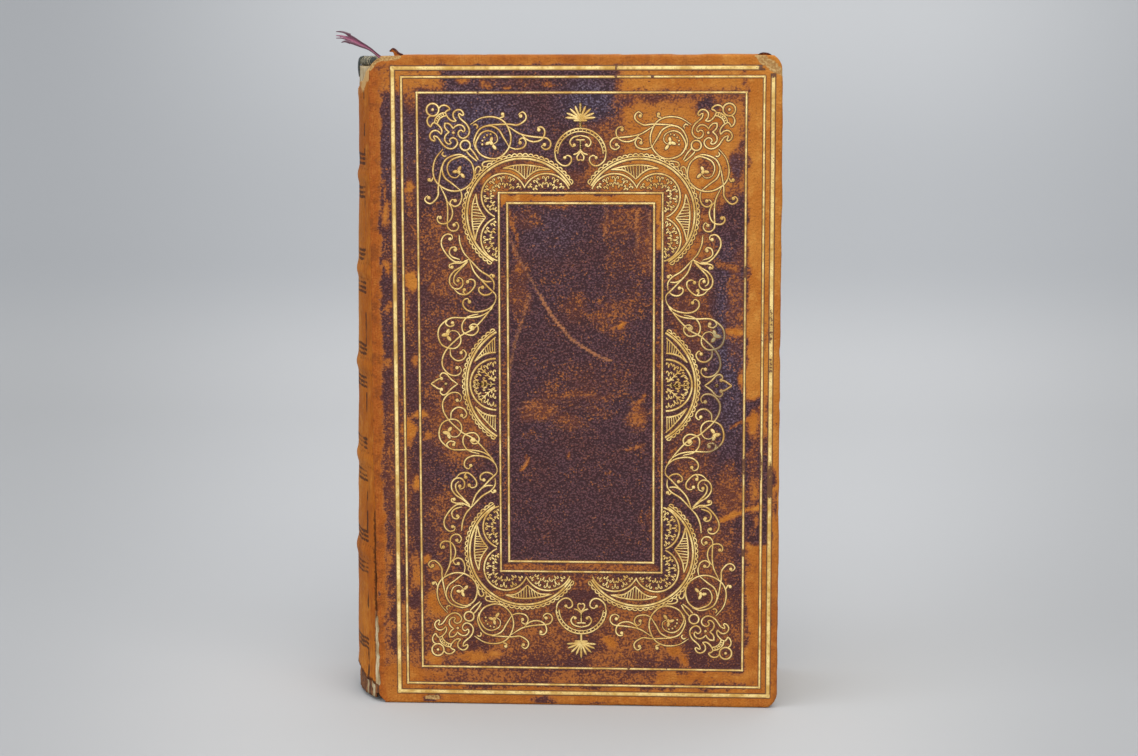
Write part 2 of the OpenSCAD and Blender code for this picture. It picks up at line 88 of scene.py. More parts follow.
def value_noise(x, y, cell, seed):
    """Smooth noise in 0..1 with cells of the given size."""
    x, y = np.asarray(x, float) / cell, np.asarray(y, float) / cell
    ix, iy = np.floor(x), np.floor(y)
    fx, fy = x - ix, y - iy
    fx, fy = fx * fx * (3 - 2 * fx), fy * fy * (3 - 2 * fy)
    low = lattice(ix, iy, seed) * (1 - fx) + lattice(ix + 1, iy, seed) * fx
    high = lattice(ix, iy + 1, seed) * (1 - fx) + lattice(ix + 1, iy + 1, seed) * fx
    return low * (1 - fy) + high * fy


def ripple(x, y, *layers):
    """A sum of noises about zero; each layer is (height, cell, seed)."""
    return sum(height * (value_noise(x, y, cell, seed) - 0.5) for height, cell, seed in layers)


def fade(value, start, end):
    """0 at start, 1 at end, smooth between."""
    t = np.clip((np.asarray(value, float) - start) / (end - start), 0, 1)
    return t * t * (3 - 2 * t)


def curve(points, step=0.35):
    """A smooth line through the given points, sampled evenly."""
    p = np.asarray(points, float)
    if len(p) == 2:
        n = max(2, int(np.linalg.norm(p[1] - p[0]) / step))
        return p[0] + (p[1] - p[0]) * np.linspace(0, 1, n + 1)[:, None]
    ends = np.vstack([2 * p[0] - p[1], p, 2 * p[-1] - p[-2]])
    out = []
    for a, b, c, d in zip(ends, ends[1:], ends[2:], ends[3:]):
        n = max(2, int(np.linalg.norm(c - b) / step))
        t = np.linspace(0, 1, n, endpoint=False)[:, None]
        bend = (2 * a - 5 * b + 4 * c - d) * t ** 2 + (3 * b - a - 3 * c + d) * t ** 3
        out.append(0.5 * (2 * b + (c - a) * t + bend))
    return np.vstack(out + [p[-1:]])


def on_circle(cx, cy, r, degrees):
    """Points on a circle at the given angles."""
    a = np.radians(degrees)
    return np.stack([cx + r * np.cos(a), cy + r * np.sin(a)], -1)


def arc(cx, cy, r, start, end, step=0.35):
    """Points along a circle, angles in degrees."""
    n = max(3, int(abs(math.radians(end - start)) * r / step))
    return on_circle(cx, cy, r, np.linspace(start, end, n + 1))


def along(places, table):
    """Reads a table of (place, value) rows at the given places."""
    rows = np.asarray(table, float)
    return np.interp(places, rows[:, 0], rows[:, 1])


def stacked(x, y, z):
    """Rows of points from coordinates that are spread over each other."""
    return np.stack(np.broadcast_arrays(x, y, z), -1).reshape(-1, 3)


def on_back(radius, angle, z):
    """Points on the round of the back, about its upright axis."""
    return stacked(SPINE_X - radius * np.cos(angle), radius * np.sin(angle), z)


# Meshes


def make(name, points, faces, body, material, stands_for=(), values=None, outward=True):
    """One piece, from points in the book's axes, riding a CAD body."""
    p = np.array(points, float)
    p[:, 0] += SHIFT_X
    mesh = bpy.data.meshes.new(name)
    mesh.from_pydata((p * MM).tolist(), [], [list(f) for f in faces])
    for key, value in (values or {}).items():
        layer = mesh.attributes.new(key, "FLOAT", "POINT")
        layer.data.foreach_set("value", np.asarray(value, np.float32))
    if outward:
        work = bmesh.new()
        work.from_mesh(mesh)
        bmesh.ops.recalc_face_normals(work, faces=work.faces)
        work.to_mesh(mesh)
        work.free()
    mesh.polygons.foreach_set("use_smooth", [True] * len(mesh.polygons))
    mesh.materials.append(material)
    obj = bpy.data.objects.new(name, mesh)
    bpy.context.scene.collection.objects.link(obj)
    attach(obj, body)
    if stands_for:
        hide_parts(*stands_for)
    return obj


def grid_faces(rows, columns, start=0, closed=False):
    """Quads of a grid of rows by columns of points; closed joins the last column to the first."""
    last = columns if closed else columns - 1
    return [
        (start + j * columns + i, start + j * columns + (i + 1) % columns,
         start + (j + 1) * columns + (i + 1) % columns, start + (j + 1) * columns + i)
        for j in range(rows - 1) for i in range(last)
    ]


def sheet_faces(rows, columns, start=0):
    """Faces of a thin sheet: two grids of points, one after the other, joined round their rim."""
    n = rows * columns
    faces = grid_faces(rows, columns, start) + [f[::-1] for f in grid_faces(rows, columns, start + n)]
    rim = [j * columns for j in range(rows)] + [n - columns + i for i in range(1, columns)]
    rim += [j * columns + columns - 1 for j in range(rows - 2, -1, -1)] + list(range(columns - 2, 0, -1))
    rim = [start + k for k in rim]
    return faces + [(a, b, b + n, a + n) for a, b in zip(rim, rim[1:] + rim[:1])]


# Materials


class Shader:
    """A short way to write a node material."""

    def __init__(self, name):
        self.material = bpy.data.materials.new(name)
        self.material.use_nodes = True
        self.tree = self.material.node_tree
        self.place = self.add("ShaderNodeTexCoord").outputs["Object"]

    def put(self, socket, value):
        """Links an output to a socket, or sets the socket's own value."""
        if isinstance(value, bpy.types.NodeSocket):
            self.tree.links.new(value, socket)
        elif socket.type == "RGBA":
            socket.default_value = (*value, 1)
        else:
            socket.default_value = value

    def add(self, kind, inputs=(), **settings):
        node = self.tree.nodes.new(kind)
        for key, value in settings.items():
            setattr(node, key, value)
        for key, value in dict(inputs).items():
            self.put(node.inputs[key], value)
        return node

    def math(self, operation, a, b=0.0):
        return self.add("ShaderNodeMath", {0: a, 1: b}, operation=operation).outputs[0]

    def plus(self, a, b):
        return self.math("ADD", a, b)

    def times(self, a, b):
        return self.math("MULTIPLY", a, b)

    def vary(self, value, *layers):
        """Adds noises about zero to a value; each layer is (noise, amount)."""
        for noise, amount in layers:
            value = self.plus(value, self.times(self.math("SUBTRACT", noise, 0.5), amount))
        return value

    def scaled(self, sx, sy, sz):
        node = self.add("ShaderNodeMapping", {"Vector": self.place, "Scale": (sx, sy, sz)})
        return node.outputs[0]

    def noise(self, scale, detail, rough, place=None):
        inputs = {"Vector": place or self.place, "Scale": scale, "Detail": detail, "Roughness": rough}
        return self.add("ShaderNodeTexNoise", inputs).outputs["Fac"]

    def cells(self, scale):
        inputs = {"Vector": self.place, "Scale": scale}
        return self.add("ShaderNodeTexVoronoi", inputs, feature="SMOOTH_F1").outputs["Distance"]

    def axis(self, name, place=None):
        return self.add("ShaderNodeSeparateXYZ", {0: place or self.place}).outputs[name]

    def to_edge(self, low, high):
        """Distance to the nearest side of an upright box, seen along y."""
        gaps = []
        for i, name in ((0, "X"), (2, "Z")):
            gaps.append(self.math("SUBTRACT", self.axis(name), low[i]))
            gaps.append(self.math("SUBTRACT", high[i], self.axis(name)))
        nearest = gaps[0]
        for gap in gaps[1:]:
            nearest = self.math("MINIMUM", nearest, gap)
        return nearest

    def value(self, name):
        """A value that the mesh carries at its points."""
        return self.add("ShaderNodeAttribute", attribute_name=name).outputs["Fac"]

    def step(self, value, start, end, low=0.0, high=1.0):
        """Low at start, high at end, smooth between."""
        inputs = {"Value": value, "From Min": start, "From Max": end, "To Min": low, "To Max": high}
        node = self.add("ShaderNodeMapRange", inputs, interpolation_type="SMOOTHSTEP")
        return node.outputs["Result"]

    def mix(self, share, a, b):
        """Blends two colours."""
        return self.add("ShaderNodeMix", {0: share, 6: a, 7: b}, data_type="RGBA").outputs[2]

    def blend(self, share, a, b):
        """Blends two numbers."""
        return self.add("ShaderNodeMix", {0: share, 2: a, 3: b}, data_type="FLOAT").outputs[0]

    def bump(self, height, strength, distance):
        inputs = {"Strength": strength, "Distance": distance, "Height": height}
        return self.add("ShaderNodeBump", inputs).outputs["Normal"]

    def done(self, colour, rough, normal=None, **more):
        main = self.tree.nodes["Principled BSDF"]
        self.put(main.inputs["Base Color"], colour)
        self.put(main.inputs["Roughness"], rough)
        if normal is not None:
            self.put(main.inputs["Normal"], normal)
        for key, value in more.items():
            self.put(main.inputs[key.replace("_", " ")], value)
        return self.material


def srgb(r, g, b):
    """A colour from screen values 0..255."""
    return tuple((v / 255 / 12.92) if v <= 10 else ((v / 255 + 0.055) / 1.055) ** 2.4 for v in (r, g, b))


TAN = srgb(182, 116, 42)
TAN_PALE = srgb(200, 140, 62)
TAN_DEEP = srgb(164, 91, 20)
TAN_STAIN = srgb(132, 74, 26)
TAN_RED = srgb(148, 73, 16)
TAN_SHADOW = srgb(118, 60, 18)
TAN_SPECK = srgb(154, 90, 40)
SCAR = srgb(176, 114, 72)
RUSSET = srgb(102, 52, 34)
RUSSET_DARK = srgb(80, 40, 34)
AUBERGINE = srgb(90, 58, 65)
# Painted shade for the hollows of the grain.
GRAIN_HOLLOW_SHADE = srgb(40, 20, 24)
MAROON = srgb(95, 56, 55)
# Painted sheen: grey-blue that stands in for the room's reflection in the dark leather.
PAINTED_SHEEN_GREY = srgb(80, 68, 88)
# Painted highlight: pale glints on the grain's peaks inside the painted sheen.
PAINTED_GLINT = srgb(128, 114, 130)
BARE_BOARD = srgb(188, 154, 100)
PULP_DARK = srgb(150, 108, 58)
INK = srgb(58, 34, 26)
# Height of the leather's grain, in metres.
GRAIN = 0.22 * MM


def leather_material():
    """Dark goatskin whose grain is rubbed through to tan where the wear value is high, with painted shade in
    the grain's hollows and a painted sheen with painted glints in places.
    """
    s = Shader("worn_leather")
    wear, painted_sheen, bare, deep = (s.value(name) for name in ("wear", "painted_sheen", "bare", "deep"))
    peak = s.step(s.cells(1900), 0.62, 0.12)
    speck, blotch = s.noise(1800, 4, 0.62), s.noise(430, 4, 0.62)
    cloud, patch = s.noise(90, 3, 0.55), s.noise(150, 3, 0.6)
    hair = s.noise(1, 3, 0.6, s.scaled(2600, 500, 420))
    rub = s.noise(1, 3, 0.6, s.scaled(520, 500, 2300))
    level = s.vary(s.times(wear, 1.25), (speck, 1.9), (blotch, 0.95), (patch, 0.65), (hair, 0.55),
                   (rub, 0.75), (peak, 0.35))
    rubbed = s.step(level, 0.31, 0.82)

    dark = s.mix(s.step(cloud, 0.3, 0.7), AUBERGINE, MAROON)
    # Painted sheen: the dark leather turns grey-blue where the sheen value is high, standing in for the
    # room's reflection.
    dark = s.mix(painted_sheen, dark, PAINTED_SHEEN_GREY)
    # Painted highlight: pale glints on the grain's peaks where the painted sheen is.
    dark = s.mix(s.times(s.times(painted_sheen, peak), s.step(speck, 0.45, 0.62, 0, 0.85)), dark, PAINTED_GLINT)
    # Painted shade: the hollows between the grain's peaks are darkened.
    dark = s.mix(s.step(peak, 1, 0, 0, 0.8), dark, GRAIN_HOLLOW_SHADE)
    dark = s.mix(s.step(s.vary(wear, (cloud, 0.3)), 0.14, 0.5, 0, 0.85), dark, RUSSET)
    dark = s.mix(s.times(s.value("warm"), s.step(peak, 0, 1, 0.6, 0.95)), dark, RUSSET_DARK)

    tan = s.mix(s.step(cloud, 0.25, 0.75), TAN_DEEP, TAN)
    tan = s.mix(s.step(blotch, 0.5, 0.75, 0, 0.6), tan, TAN_PALE)
    tan = s.mix(s.times(s.step(hair, 0.5, 0.7), s.plus(s.times(deep, 0.4), 0.32)), tan, TAN_STAIN)
    tan = s.mix(s.times(deep, s.step(hair, 0.3, 0.6, 0.55, 1)), tan, TAN_RED)
    tan = s.mix(s.times(deep, s.step(blotch, 0.52, 0.36, 0, 0.75)), tan, TAN_SHADOW)
    tan = s.mix(s.step(wear, 0.88, 0.45), tan, TAN_SPECK)

    colour = s.mix(rubbed, dark, tan)
    colour = s.mix(s.step(s.vary(s.value("scar"), (speck, 0.9)), 0.25, 0.8, 0, 0.85), colour, SCAR)
    pulp = s.mix(s.step(speck, 0.35, 0.7), PULP_DARK, BARE_BOARD)
    colour = s.mix(s.step(s.vary(bare, (blotch, 1.2)), 0.45, 0.6), colour, pulp)
    rough = s.blend(rubbed, s.step(speck, 0.2, 0.8, 0.36, 0.56), 0.7)
    height = s.plus(s.plus(peak, s.times(speck, 0.6)), s.times(rubbed, -0.4))
    normal = s.bump(height, s.blend(rubbed, 0.8, 0.45), GRAIN)
    return s.done(colour, rough, normal, Specular_IOR_Level=0.2)


def spine_material():
    """Tan, sun-browned leather of the spine, with dark remains, tool marks, and painted shade along the open
    split.
    """
    s = Shader("spine_leather")
    ink = s.value("ink")
    peak = s.step(s.cells(1100), 0.62, 0.12)
    speck, blotch = s.noise(1300, 3, 0.6), s.noise(260, 3, 0.6)
    cloud = s.noise(70, 3, 0.55, s.scaled(1, 1, 0.5))
    hair = s.noise(1, 3, 0.6, s.scaled(1500, 1500, 300))
    stain = s.noise(1, 4, 0.65, s.scaled(200, 200, 90))
    colour = s.mix(s.step(cloud, 0.3, 0.7), srgb(158, 86, 24), srgb(184, 114, 38))
    near_joint = s.times(s.value("near_joint"), s.step(hair, 0.35, 0.65, 0.1, 0.7))
    for share, tint in (
        (s.step(blotch, 0.5, 0.8, 0, 0.6), srgb(200, 136, 56)),
        (s.step(hair, 0.52, 0.7, 0, 0.5), srgb(120, 66, 28)),
        (near_joint, srgb(148, 74, 22)),
        (s.step(stain, 0.52, 0.72, 0, 0.6), srgb(126, 70, 28)),
        (s.step(s.vary(s.value("dark"), (speck, 1.2)), 0.4, 0.75), srgb(92, 50, 22)),
        (s.step(s.vary(ink, (blotch, 1.2)), 0.35, 0.7, 0, 0.85), INK),
        (s.step(s.vary(s.value("torn"), (speck, 1.2)), 0.45, 0.7), srgb(190, 150, 96)),
    ):
        colour = s.mix(share, colour, tint)
    height = s.plus(s.plus(s.times(peak, 0.5), s.times(blotch, 0.7)), s.times(ink, -0.8))
    rough = s.step(speck, 0.2, 0.8, 0.55, 0.78)
    return s.done(colour, rough, s.bump(height, 0.5, GRAIN), Specular_IOR_Level=0.08)


def gold_material():
    """Gold leaf in a tooled line: bright, with thin, tarnished and lost stretches, and painted shade down its
    sides.
    """
    s = Shader("gold_leaf")
    speck, blotch = s.noise(1500, 3, 0.65), s.noise(190, 3, 0.65)
    gold = s.mix(s.step(blotch, 0.35, 0.65), srgb(208, 164, 82), srgb(252, 224, 148))
    gold = s.mix(s.step(speck, 0.5, 0.34, 0, 0.5), gold, srgb(166, 118, 52))
    gold = s.mix(s.times(s.value("tarnish"), 0.9), gold, srgb(116, 112, 92))
    # Painted shade: each line turns brown down its sides, away from its crown.
    gold = s.mix(s.step(s.value("crest"), 0.8, 0.1), gold, srgb(146, 98, 42))
    gone = s.step(s.vary(s.value("lost"), (speck, 1.3), (blotch, 1.0)), 0.42, 0.62)
    colour = s.mix(gone, gold, srgb(98, 58, 28))
    normal = s.bump(s.plus(speck, blotch), 0.3, 0.1 * MM)
    return s.done(colour, s.step(speck, 0.2, 0.8, 0.3, 0.46), normal, Metallic=s.blend(gone, 0.34, 0))


def bed_material():
    """Leather darkened beside the gold: partly the hot tool's burn, partly painted shade of the sunken groove
    the line lies in.
    """
    s = Shader("tooled_bed_burn_and_shade")
    speck = s.noise(1300, 3, 0.6)
    colour = s.mix(s.step(speck, 0.3, 0.7), srgb(58, 30, 16), srgb(100, 56, 24))
    return s.done(colour, s.step(speck, 0.2, 0.8, 0.5, 0.7), s.bump(speck, 0.4, 0.12 * MM))


def leaf_colour(s, node):
    """Cream paper, browned towards its edges, faintly clouded and foxed."""
    near = s.to_edge(*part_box(node))
    cloud, spots = s.noise(38, 5, 0.65), s.noise(260, 3, 0.6)
    browned = s.vary(s.step(near, 0.034, 0), (cloud, 1.3))
    colour = s.mix(s.step(browned, -0.2, 1.3), srgb(222, 208, 176), srgb(184, 154, 108))
    return s.mix(s.step(spots, 0.67, 0.77, 0, 0.5), colour, srgb(156, 110, 62))


def page_material():
    """Page edges: lines through the thickness, old gilding rubbed brown; the flat sides are fly leaves."""
    s = Shader("page_edges")
    leaf = s.noise(1, 2, 0.6, s.scaled(25, 9000, 25))
    gather = s.noise(1, 2, 0.5, s.scaled(6, 900, 6))
    paper = s.mix(s.step(leaf, 0.3, 0.7), srgb(150, 118, 70), srgb(208, 180, 126))
    gilt = s.mix(s.step(leaf, 0.3, 0.7), srgb(150, 104, 40), srgb(204, 160, 78))
    facing = s.axis("Y", s.add("ShaderNodeTexCoord").outputs["Normal"])
    flat = s.step(s.math("ABSOLUTE", facing), 0.93, 0.98)
    worn = s.step(s.plus(s.noise(60, 4, 0.6), s.times(gather, 0.4)), 0.6, 0.85)
    worn = s.math("MAXIMUM", worn, flat)
    colour = s.mix(flat, s.mix(worn, gilt, paper), leaf_colour(s, "text_block"))
    height = s.blend(flat, s.plus(leaf, s.times(gather, 0.6)), s.noise(2200, 3, 0.6))
    normal = s.bump(height, s.blend(flat, 0.5, 0.2), 0.2 * MM)
    return s.done(colour, s.blend(worn, 0.42, 0.8), normal, Metallic=s.blend(worn, 0.45, 0))


def paper_finish(s, colour):
    """Roughness and fibres of plain paper."""
    fibre = s.noise(2200, 3, 0.6)
    return s.done(colour, s.step(fibre, 0.2, 0.8, 0.75, 0.92), s.bump(fibre, 0.25, 0.1 * MM))


def endpaper_material():
    """Plain paper pasted inside the covers."""
    s = Shader("endpaper")
    return paper_finish(s, leaf_colour(s, "front_pastedown"))


def cord_material():
    """Old hemp, browned and spotted."""
    s = Shader("hemp_cord")
    colour = s.mix(s.step(s.noise(45, 4, 0.6), 0.35, 0.75), srgb(186, 160, 112), srgb(150, 120, 76))
    colour = s.mix(s.step(s.noise(210, 3, 0.6), 0.66, 0.78, 0, 0.6), colour, srgb(110, 80, 44))
    return paper_finish(s, colour)


def board_material():
    """Grey-cream millboard with short fibres."""
    s = Shader("millboard")
    fibre = s.noise(900, 4, 0.7)
    colour = s.mix(s.step(fibre, 0.3, 0.7), srgb(150, 128, 96), srgb(206, 190, 158))
    colour = s.mix(s.step(s.noise(120, 3, 0.6), 0.5, 0.8, 0, 0.5), colour, srgb(126, 92, 56))
    return s.done(colour, 0.9, s.bump(fibre, 0.7, 0.3 * MM))


def lining_material():
    """Torn layers of paper, cloth and old leather on the back of the pages."""
    s = Shader("spine_lining")
    fibre = s.noise(1, 3, 0.6, s.scaled(1500, 1500, 260))
    cloud = s.noise(1, 4, 0.65, s.scaled(420, 420, 90))
    pale = s.mix(s.step(fibre, 0.35, 0.7), srgb(150, 124, 84), srgb(204, 188, 152))
    old = s.mix(s.step(fibre, 0.35, 0.7), srgb(74, 40, 18), srgb(146, 88, 36))
    colour = s.mix(s.step(s.vary(s.value("brown"), (cloud, 1.6)), 0.4, 0.62), pale, old)
    normal = s.bump(s.plus(fibre, cloud), 0.8, 0.4 * MM)
    return s.done(colour, s.step(fibre, 0.2, 0.8, 0.8, 0.92), normal)


def silk_material():
    """Wound silk of an end band: dark green with cream stripes."""
    s = Shader("wound_silk")
    fuzz = s.noise(2600, 2, 0.6)
    dark = s.mix(fuzz, srgb(16, 22, 22), srgb(50, 60, 56))
    pale = s.mix(fuzz, srgb(150, 134, 100), srgb(206, 194, 162))
    colour = s.mix(s.step(s.value("stripe"), 0.45, 0.55), dark, pale)
    height = s.plus(s.value("turn"), s.times(fuzz, 0.3))
    return s.done(colour, 0.7, s.bump(height, 0.9, 0.3 * MM), Sheen_Weight=0.3)


def ribbon_material():
    """Plum silk ribbon, faded to pink along its middle."""
    s = Shader("plum_ribbon")
    across = s.value("across")
    weave = s.math("SINE", s.times(s.value("lengthways"), 42))
    thread = s.math("SINE", s.times(across, 110))
    middle = s.math("SUBTRACT", 1, s.math("ABSOLUTE", s.times(across, 1.7)))
    faded = s.vary(middle, (s.noise(2400, 3, 0.6), 0.6))
    colour = s.mix(s.step(faded, 0.35, 1.1), srgb(72, 16, 42), srgb(148, 70, 102))
    height = s.plus(s.times(weave, 0.4), s.times(thread, 0.5))
    return s.done(colour, 0.6, s.bump(height, 0.4, 0.12 * MM), Sheen_Weight=0.4)


LEATHER = leather_material()
SPINE = spine_material()
GOLD = gold_material()
BED = bed_material()
PAGES = page_material()
ENDPAPER = endpaper_material()
BOARD = board_material()
LINING = lining_material()
CORD = cord_material()
SILK = silk_material()
RIBBON = ribbon_material()


# Wear of the covers

# Blocks that are rubbed to tan: left, right, bottom, top, strength, softness of the edge.
RUBBED_BLOCKS = [
    (-64, -55, -94, 94, 1, 0.9), (-64, 58, 87.2, 94, 1, 0.7), (-64, 58, -94, -85, 0.95, 1),
    (44.6, 58, -3, 94, 0.98, 0.8), (51.6, 58, -94, 2, 0.95, 0.8), (45, 52, -94, -43, 0.92, 1.2),
    (9.5, 45, 53, 79, 0.78, 4.5), (10, 45, 79, 88, 0.86, 3.4), (-56, -38, 80.4, 87, 0.74, 1.6),
    (-56, -46, 79.5, 88, 0.74, 1.6), (-22.2, 21.7, 50.1, 52.6, 0.92, 0.3), (19.8, 21.8, 38, 52, 0.85, 0.5),
    (-56, -44, -86, -78, 0.86, 1.5), (-56, -45, -80, -60, 0.6, 2.5), (-50, -38, -86, -79.6, 0.7, 1.5),
    (20, 46, -84.2, -79.8, 0.8, 1), (-38, 20, -84.2, -79.8, 0.5, 1), (-22, 21.6, -52, -49.4, 0.56, 0.6),
]

# A spot is a soft oval: x, up, half width, half height, strength, and its turn in degrees if it has one.
# Rubbed patches.
RUBBED_SPOTS = [
    (-15, 58.6, 11, 2.6, 0.9), (-24.5, 55.5, 4, 4.5, 0.85, 40), (-29, 48, 2.2, 6, 0.7, 8),
    (-27, 37, 3, 4, 0.5, 30), (27, 46, 6, 11, 0.88), (14, 57, 14, 5, 0.95), (30, 38, 7, 6, 0.62),
    (25.5, 31, 4.5, 4.5, 0.5), (-28.6, -50, 2.6, 7, 0.56, -12), (-20, -58.4, 8, 2.6, 0.55),
    (28.5, -51, 3.4, 7, 0.58, 12), (18, -58.6, 9, 2.6, 0.58), (33, 55, 10, 5, 0.85),
    (42, 15.5, 3.6, 1.5, 0.85), (44.4, 2, 2, 4, 0.85), (40, 33, 5, 1.6, 0.55, -18), (36, 51, 4, 4, 0.6),
    (33, 46, 2, 4, 0.55), (46.8, -10, 2, 5.2, 0.95), (49.7, -9, 1.6, 10, 0.8), (-46, -53, 2.6, 5.4, 0.74),
    (-41, -51, 2.4, 2.6, 0.66), (46.7, -29, 1.9, 4, 0.75), (46.5, -19, 1.8, 2, 0.5),
    (47.5, -37, 1.3, 3, 0.55), (43, -30, 2.4, 3.4, 0.5), (-47, 28.4, 2.2, 3.2, 1), (-48, 20, 0.9, 5, 0.75),
    (-46.9, 54, 1.8, 3.3, 0.8), (-47.4, 50.5, 1.4, 2, 0.55), (-53.2, 47, 1.3, 4.6, 0.8),
    (-53.4, 54, 1.1, 4, 0.55), (-53.2, 32.5, 1.2, 2.8, 0.8), (-46.5, 78.5, 3, 4, 0.62),
    (-52.8, 22, 1.3, 2.4, 0.65), (-53.7, 6, 1.8, 1.9, 0.75), (-46, 7, 1.4, 1.7, 0.65),
    (-47.9, -13, 2.1, 4.4, 1), (-44.4, -8.3, 3.4, 1.3, 0.85), (-42.2, -14, 2.4, 1.1, 0.65),
    (-46.4, -27, 2.1, 2.5, 0.95), (-48, -31, 1.2, 1.9, 0.55), (-43.3, -48.5, 1.7, 1.5, 0.85),
    (-53.9, -50, 1.5, 3.6, 0.7), (-53.5, -57, 1.6, 2.6, 0.55), (-47.2, -50, 1.8, 3.6, 0.5),
    (-48, -57, 1.2, 3.8, 0.65), (-41, -62, 3.4, 6, 0.9, 20), (-39, -70, 5, 3.8, 0.64),
    (-41, -77, 4, 2.4, 0.9), (-30, -76.8, 8, 2, 0.85), (-35, -66, 4, 3, 0.62), (-33, -61, 3, 2.8, 0.56),
    (-28, -67, 4, 2.8, 0.42), (-22, -72, 4, 2, 0.68, 20), (-24.5, -76, 5, 1.5, 0.8, 5),
    (7.6, -71.6, 2.2, 4.6, 0.92, 42), (10.4, -75.4, 1.9, 2.3, 0.7, 20), (25.5, -74, 2.4, 3.6, 0.92, 34),
    (28, -77, 2, 2.2, 0.85), (21.5, -72.5, 2.4, 1.3, 0.65), (43.3, -70, 1.6, 6, 0.5),
    (36, -60, 2.8, 2.2, 0.48), (30, -63, 2.8, 1.8, 0.42), (41, -76.6, 2.4, 1.8, 0.42),
    (10.7, 17, 0.7, 1.1, 0.85, 10), (8.2, 19.4, 0.4, 0.5, 0.7), (-17.6, 32, 1.5, 2.4, 0.55),
    (-18.2, 37.5, 0.9, 2.8, 0.5), (-12, -7, 7.4, 4.4, 0.4, 8), (-3.5, -10, 6.4, 3, 0.32),
    (4, -7, 6, 2.8, 0.3, -8), (-15, -13, 2.6, 1.5, 0.32), (0, -2.5, 19, 1.6, 0.36),
    (15, -8.5, 4.2, 5.2, 0.42), (15, -17, 3.4, 0.9, 0.42, 15), (-4, -19, 0.7, 0.9, 0.65),
    (7, -24, 0.9, 0.5, 0.45), (6.4, 44, 1, 6, 0.46), (14.8, 43, 1.1, 7, 0.46), (18.2, 40, 1.2, 8, 0.46),
    (9, 40, 0.8, 5, 0.34), (12, 33, 2.4, 1.4, 0.32), (18.4, -38, 1, 6, 0.36), (16.4, -36, 0.7, 5, 0.32),
    (-7, 49, 6, 0.9, 0.42), (12, 48, 6, 1.2, 0.46), (-32, 83, 2.4, 1.2, 0.7), (-26, 82.2, 2.2, 1, 0.6),
    (-20, 81.2, 1.4, 0.8, 0.7), (-9, 81.3, 2.4, 0.7, 0.6), (-16, 83.6, 2, 0.6, 0.5),
    (-44, 85.5, 6, 0.9, 0.6),
]

# Lightly speckled zones.
SPECKLED_SPOTS = [
    (-36, 36, 11, 18, 0.42), (-37, 8, 11, 24, 0.38), (-34, -12, 12, 14, 0.48), (-36, -38, 11, 15, 0.38),
    (30, -18, 9, 16, 0.36), (30, 20, 8, 14, 0.4), (-8, 30, 12, 22, 0.2), (-17, 27, 4, 13, 0.38),
    (12, 28, 9, 22, 0.27), (0, 0, 20, 10, 0.26), (11, 44, 9, 6, 0.36), (17, 38, 4, 12, 0.4),
    (-15, 46, 6, 4, 0.36), (9, 19, 8, 7, 0.36), (-2, 22, 6, 6, 0.3), (0, -35, 20, 14, 0.1),
    (-20, 70, 18, 8, 0.14), (-14, -68, 20, 13, 0.53), (16, -68, 18, 13, 0.57), (-38, -66, 9, 16, 0.7),
    (0, -55, 24, 3, 0.46), (38, -66, 8, 14, 0.46), (36, -48, 10, 14, 0.42), (-47, 38, 2.4, 44, 0.32),
    (-53, 30, 1.6, 50, 0.24), (-20, 83, 18, 2, 0.24), (-51, -24, 5, 38, 0.46), (-21.3, 0, 1, 50, 0.4),
    (21, 0, 1, 40, 0.36), (0, -50.8, 20, 1, 0.3), (42, 24, 4, 22, 0.42), (9, 64, 7, 7, 0.56),
    (8, -77, 10, 4, 0.62), (40, -30, 5, 12, 0.46), (6, 66, 9, 12, 0.42), (0, 56, 12, 4, 0.4),
    (-18, 58, 14, 8, 0.4), (47, -25, 2, 20, 0.4),
]

# Long scratches and rubs: points, half width, strength.
SCRATCHES = [
    ([(37.5, -37), (43, -35), (48.5, -33)], 0.6, 0.85), ([(-17, -23), (-15, -20.4)], 0.4, 0.7),
    ([(-20, 48), (-18, 40)], 0.5, 0.5), ([(33, 62), (30, 58)], 0.6, 0.5),
    ([(-36, -12), (-31, -9)], 0.5, 0.6), ([(-42, 26), (-38, 29)], 0.4, 0.55),
    ([(-41, 11), (-37, 8)], 0.4, 0.5), ([(0, 20), (10, 18)], 0.25, 0.35), ([(14, -6), (17, -3)], 0.4, 0.55),
    ([(41, -11), (46, -9)], 0.6, 0.6),
]

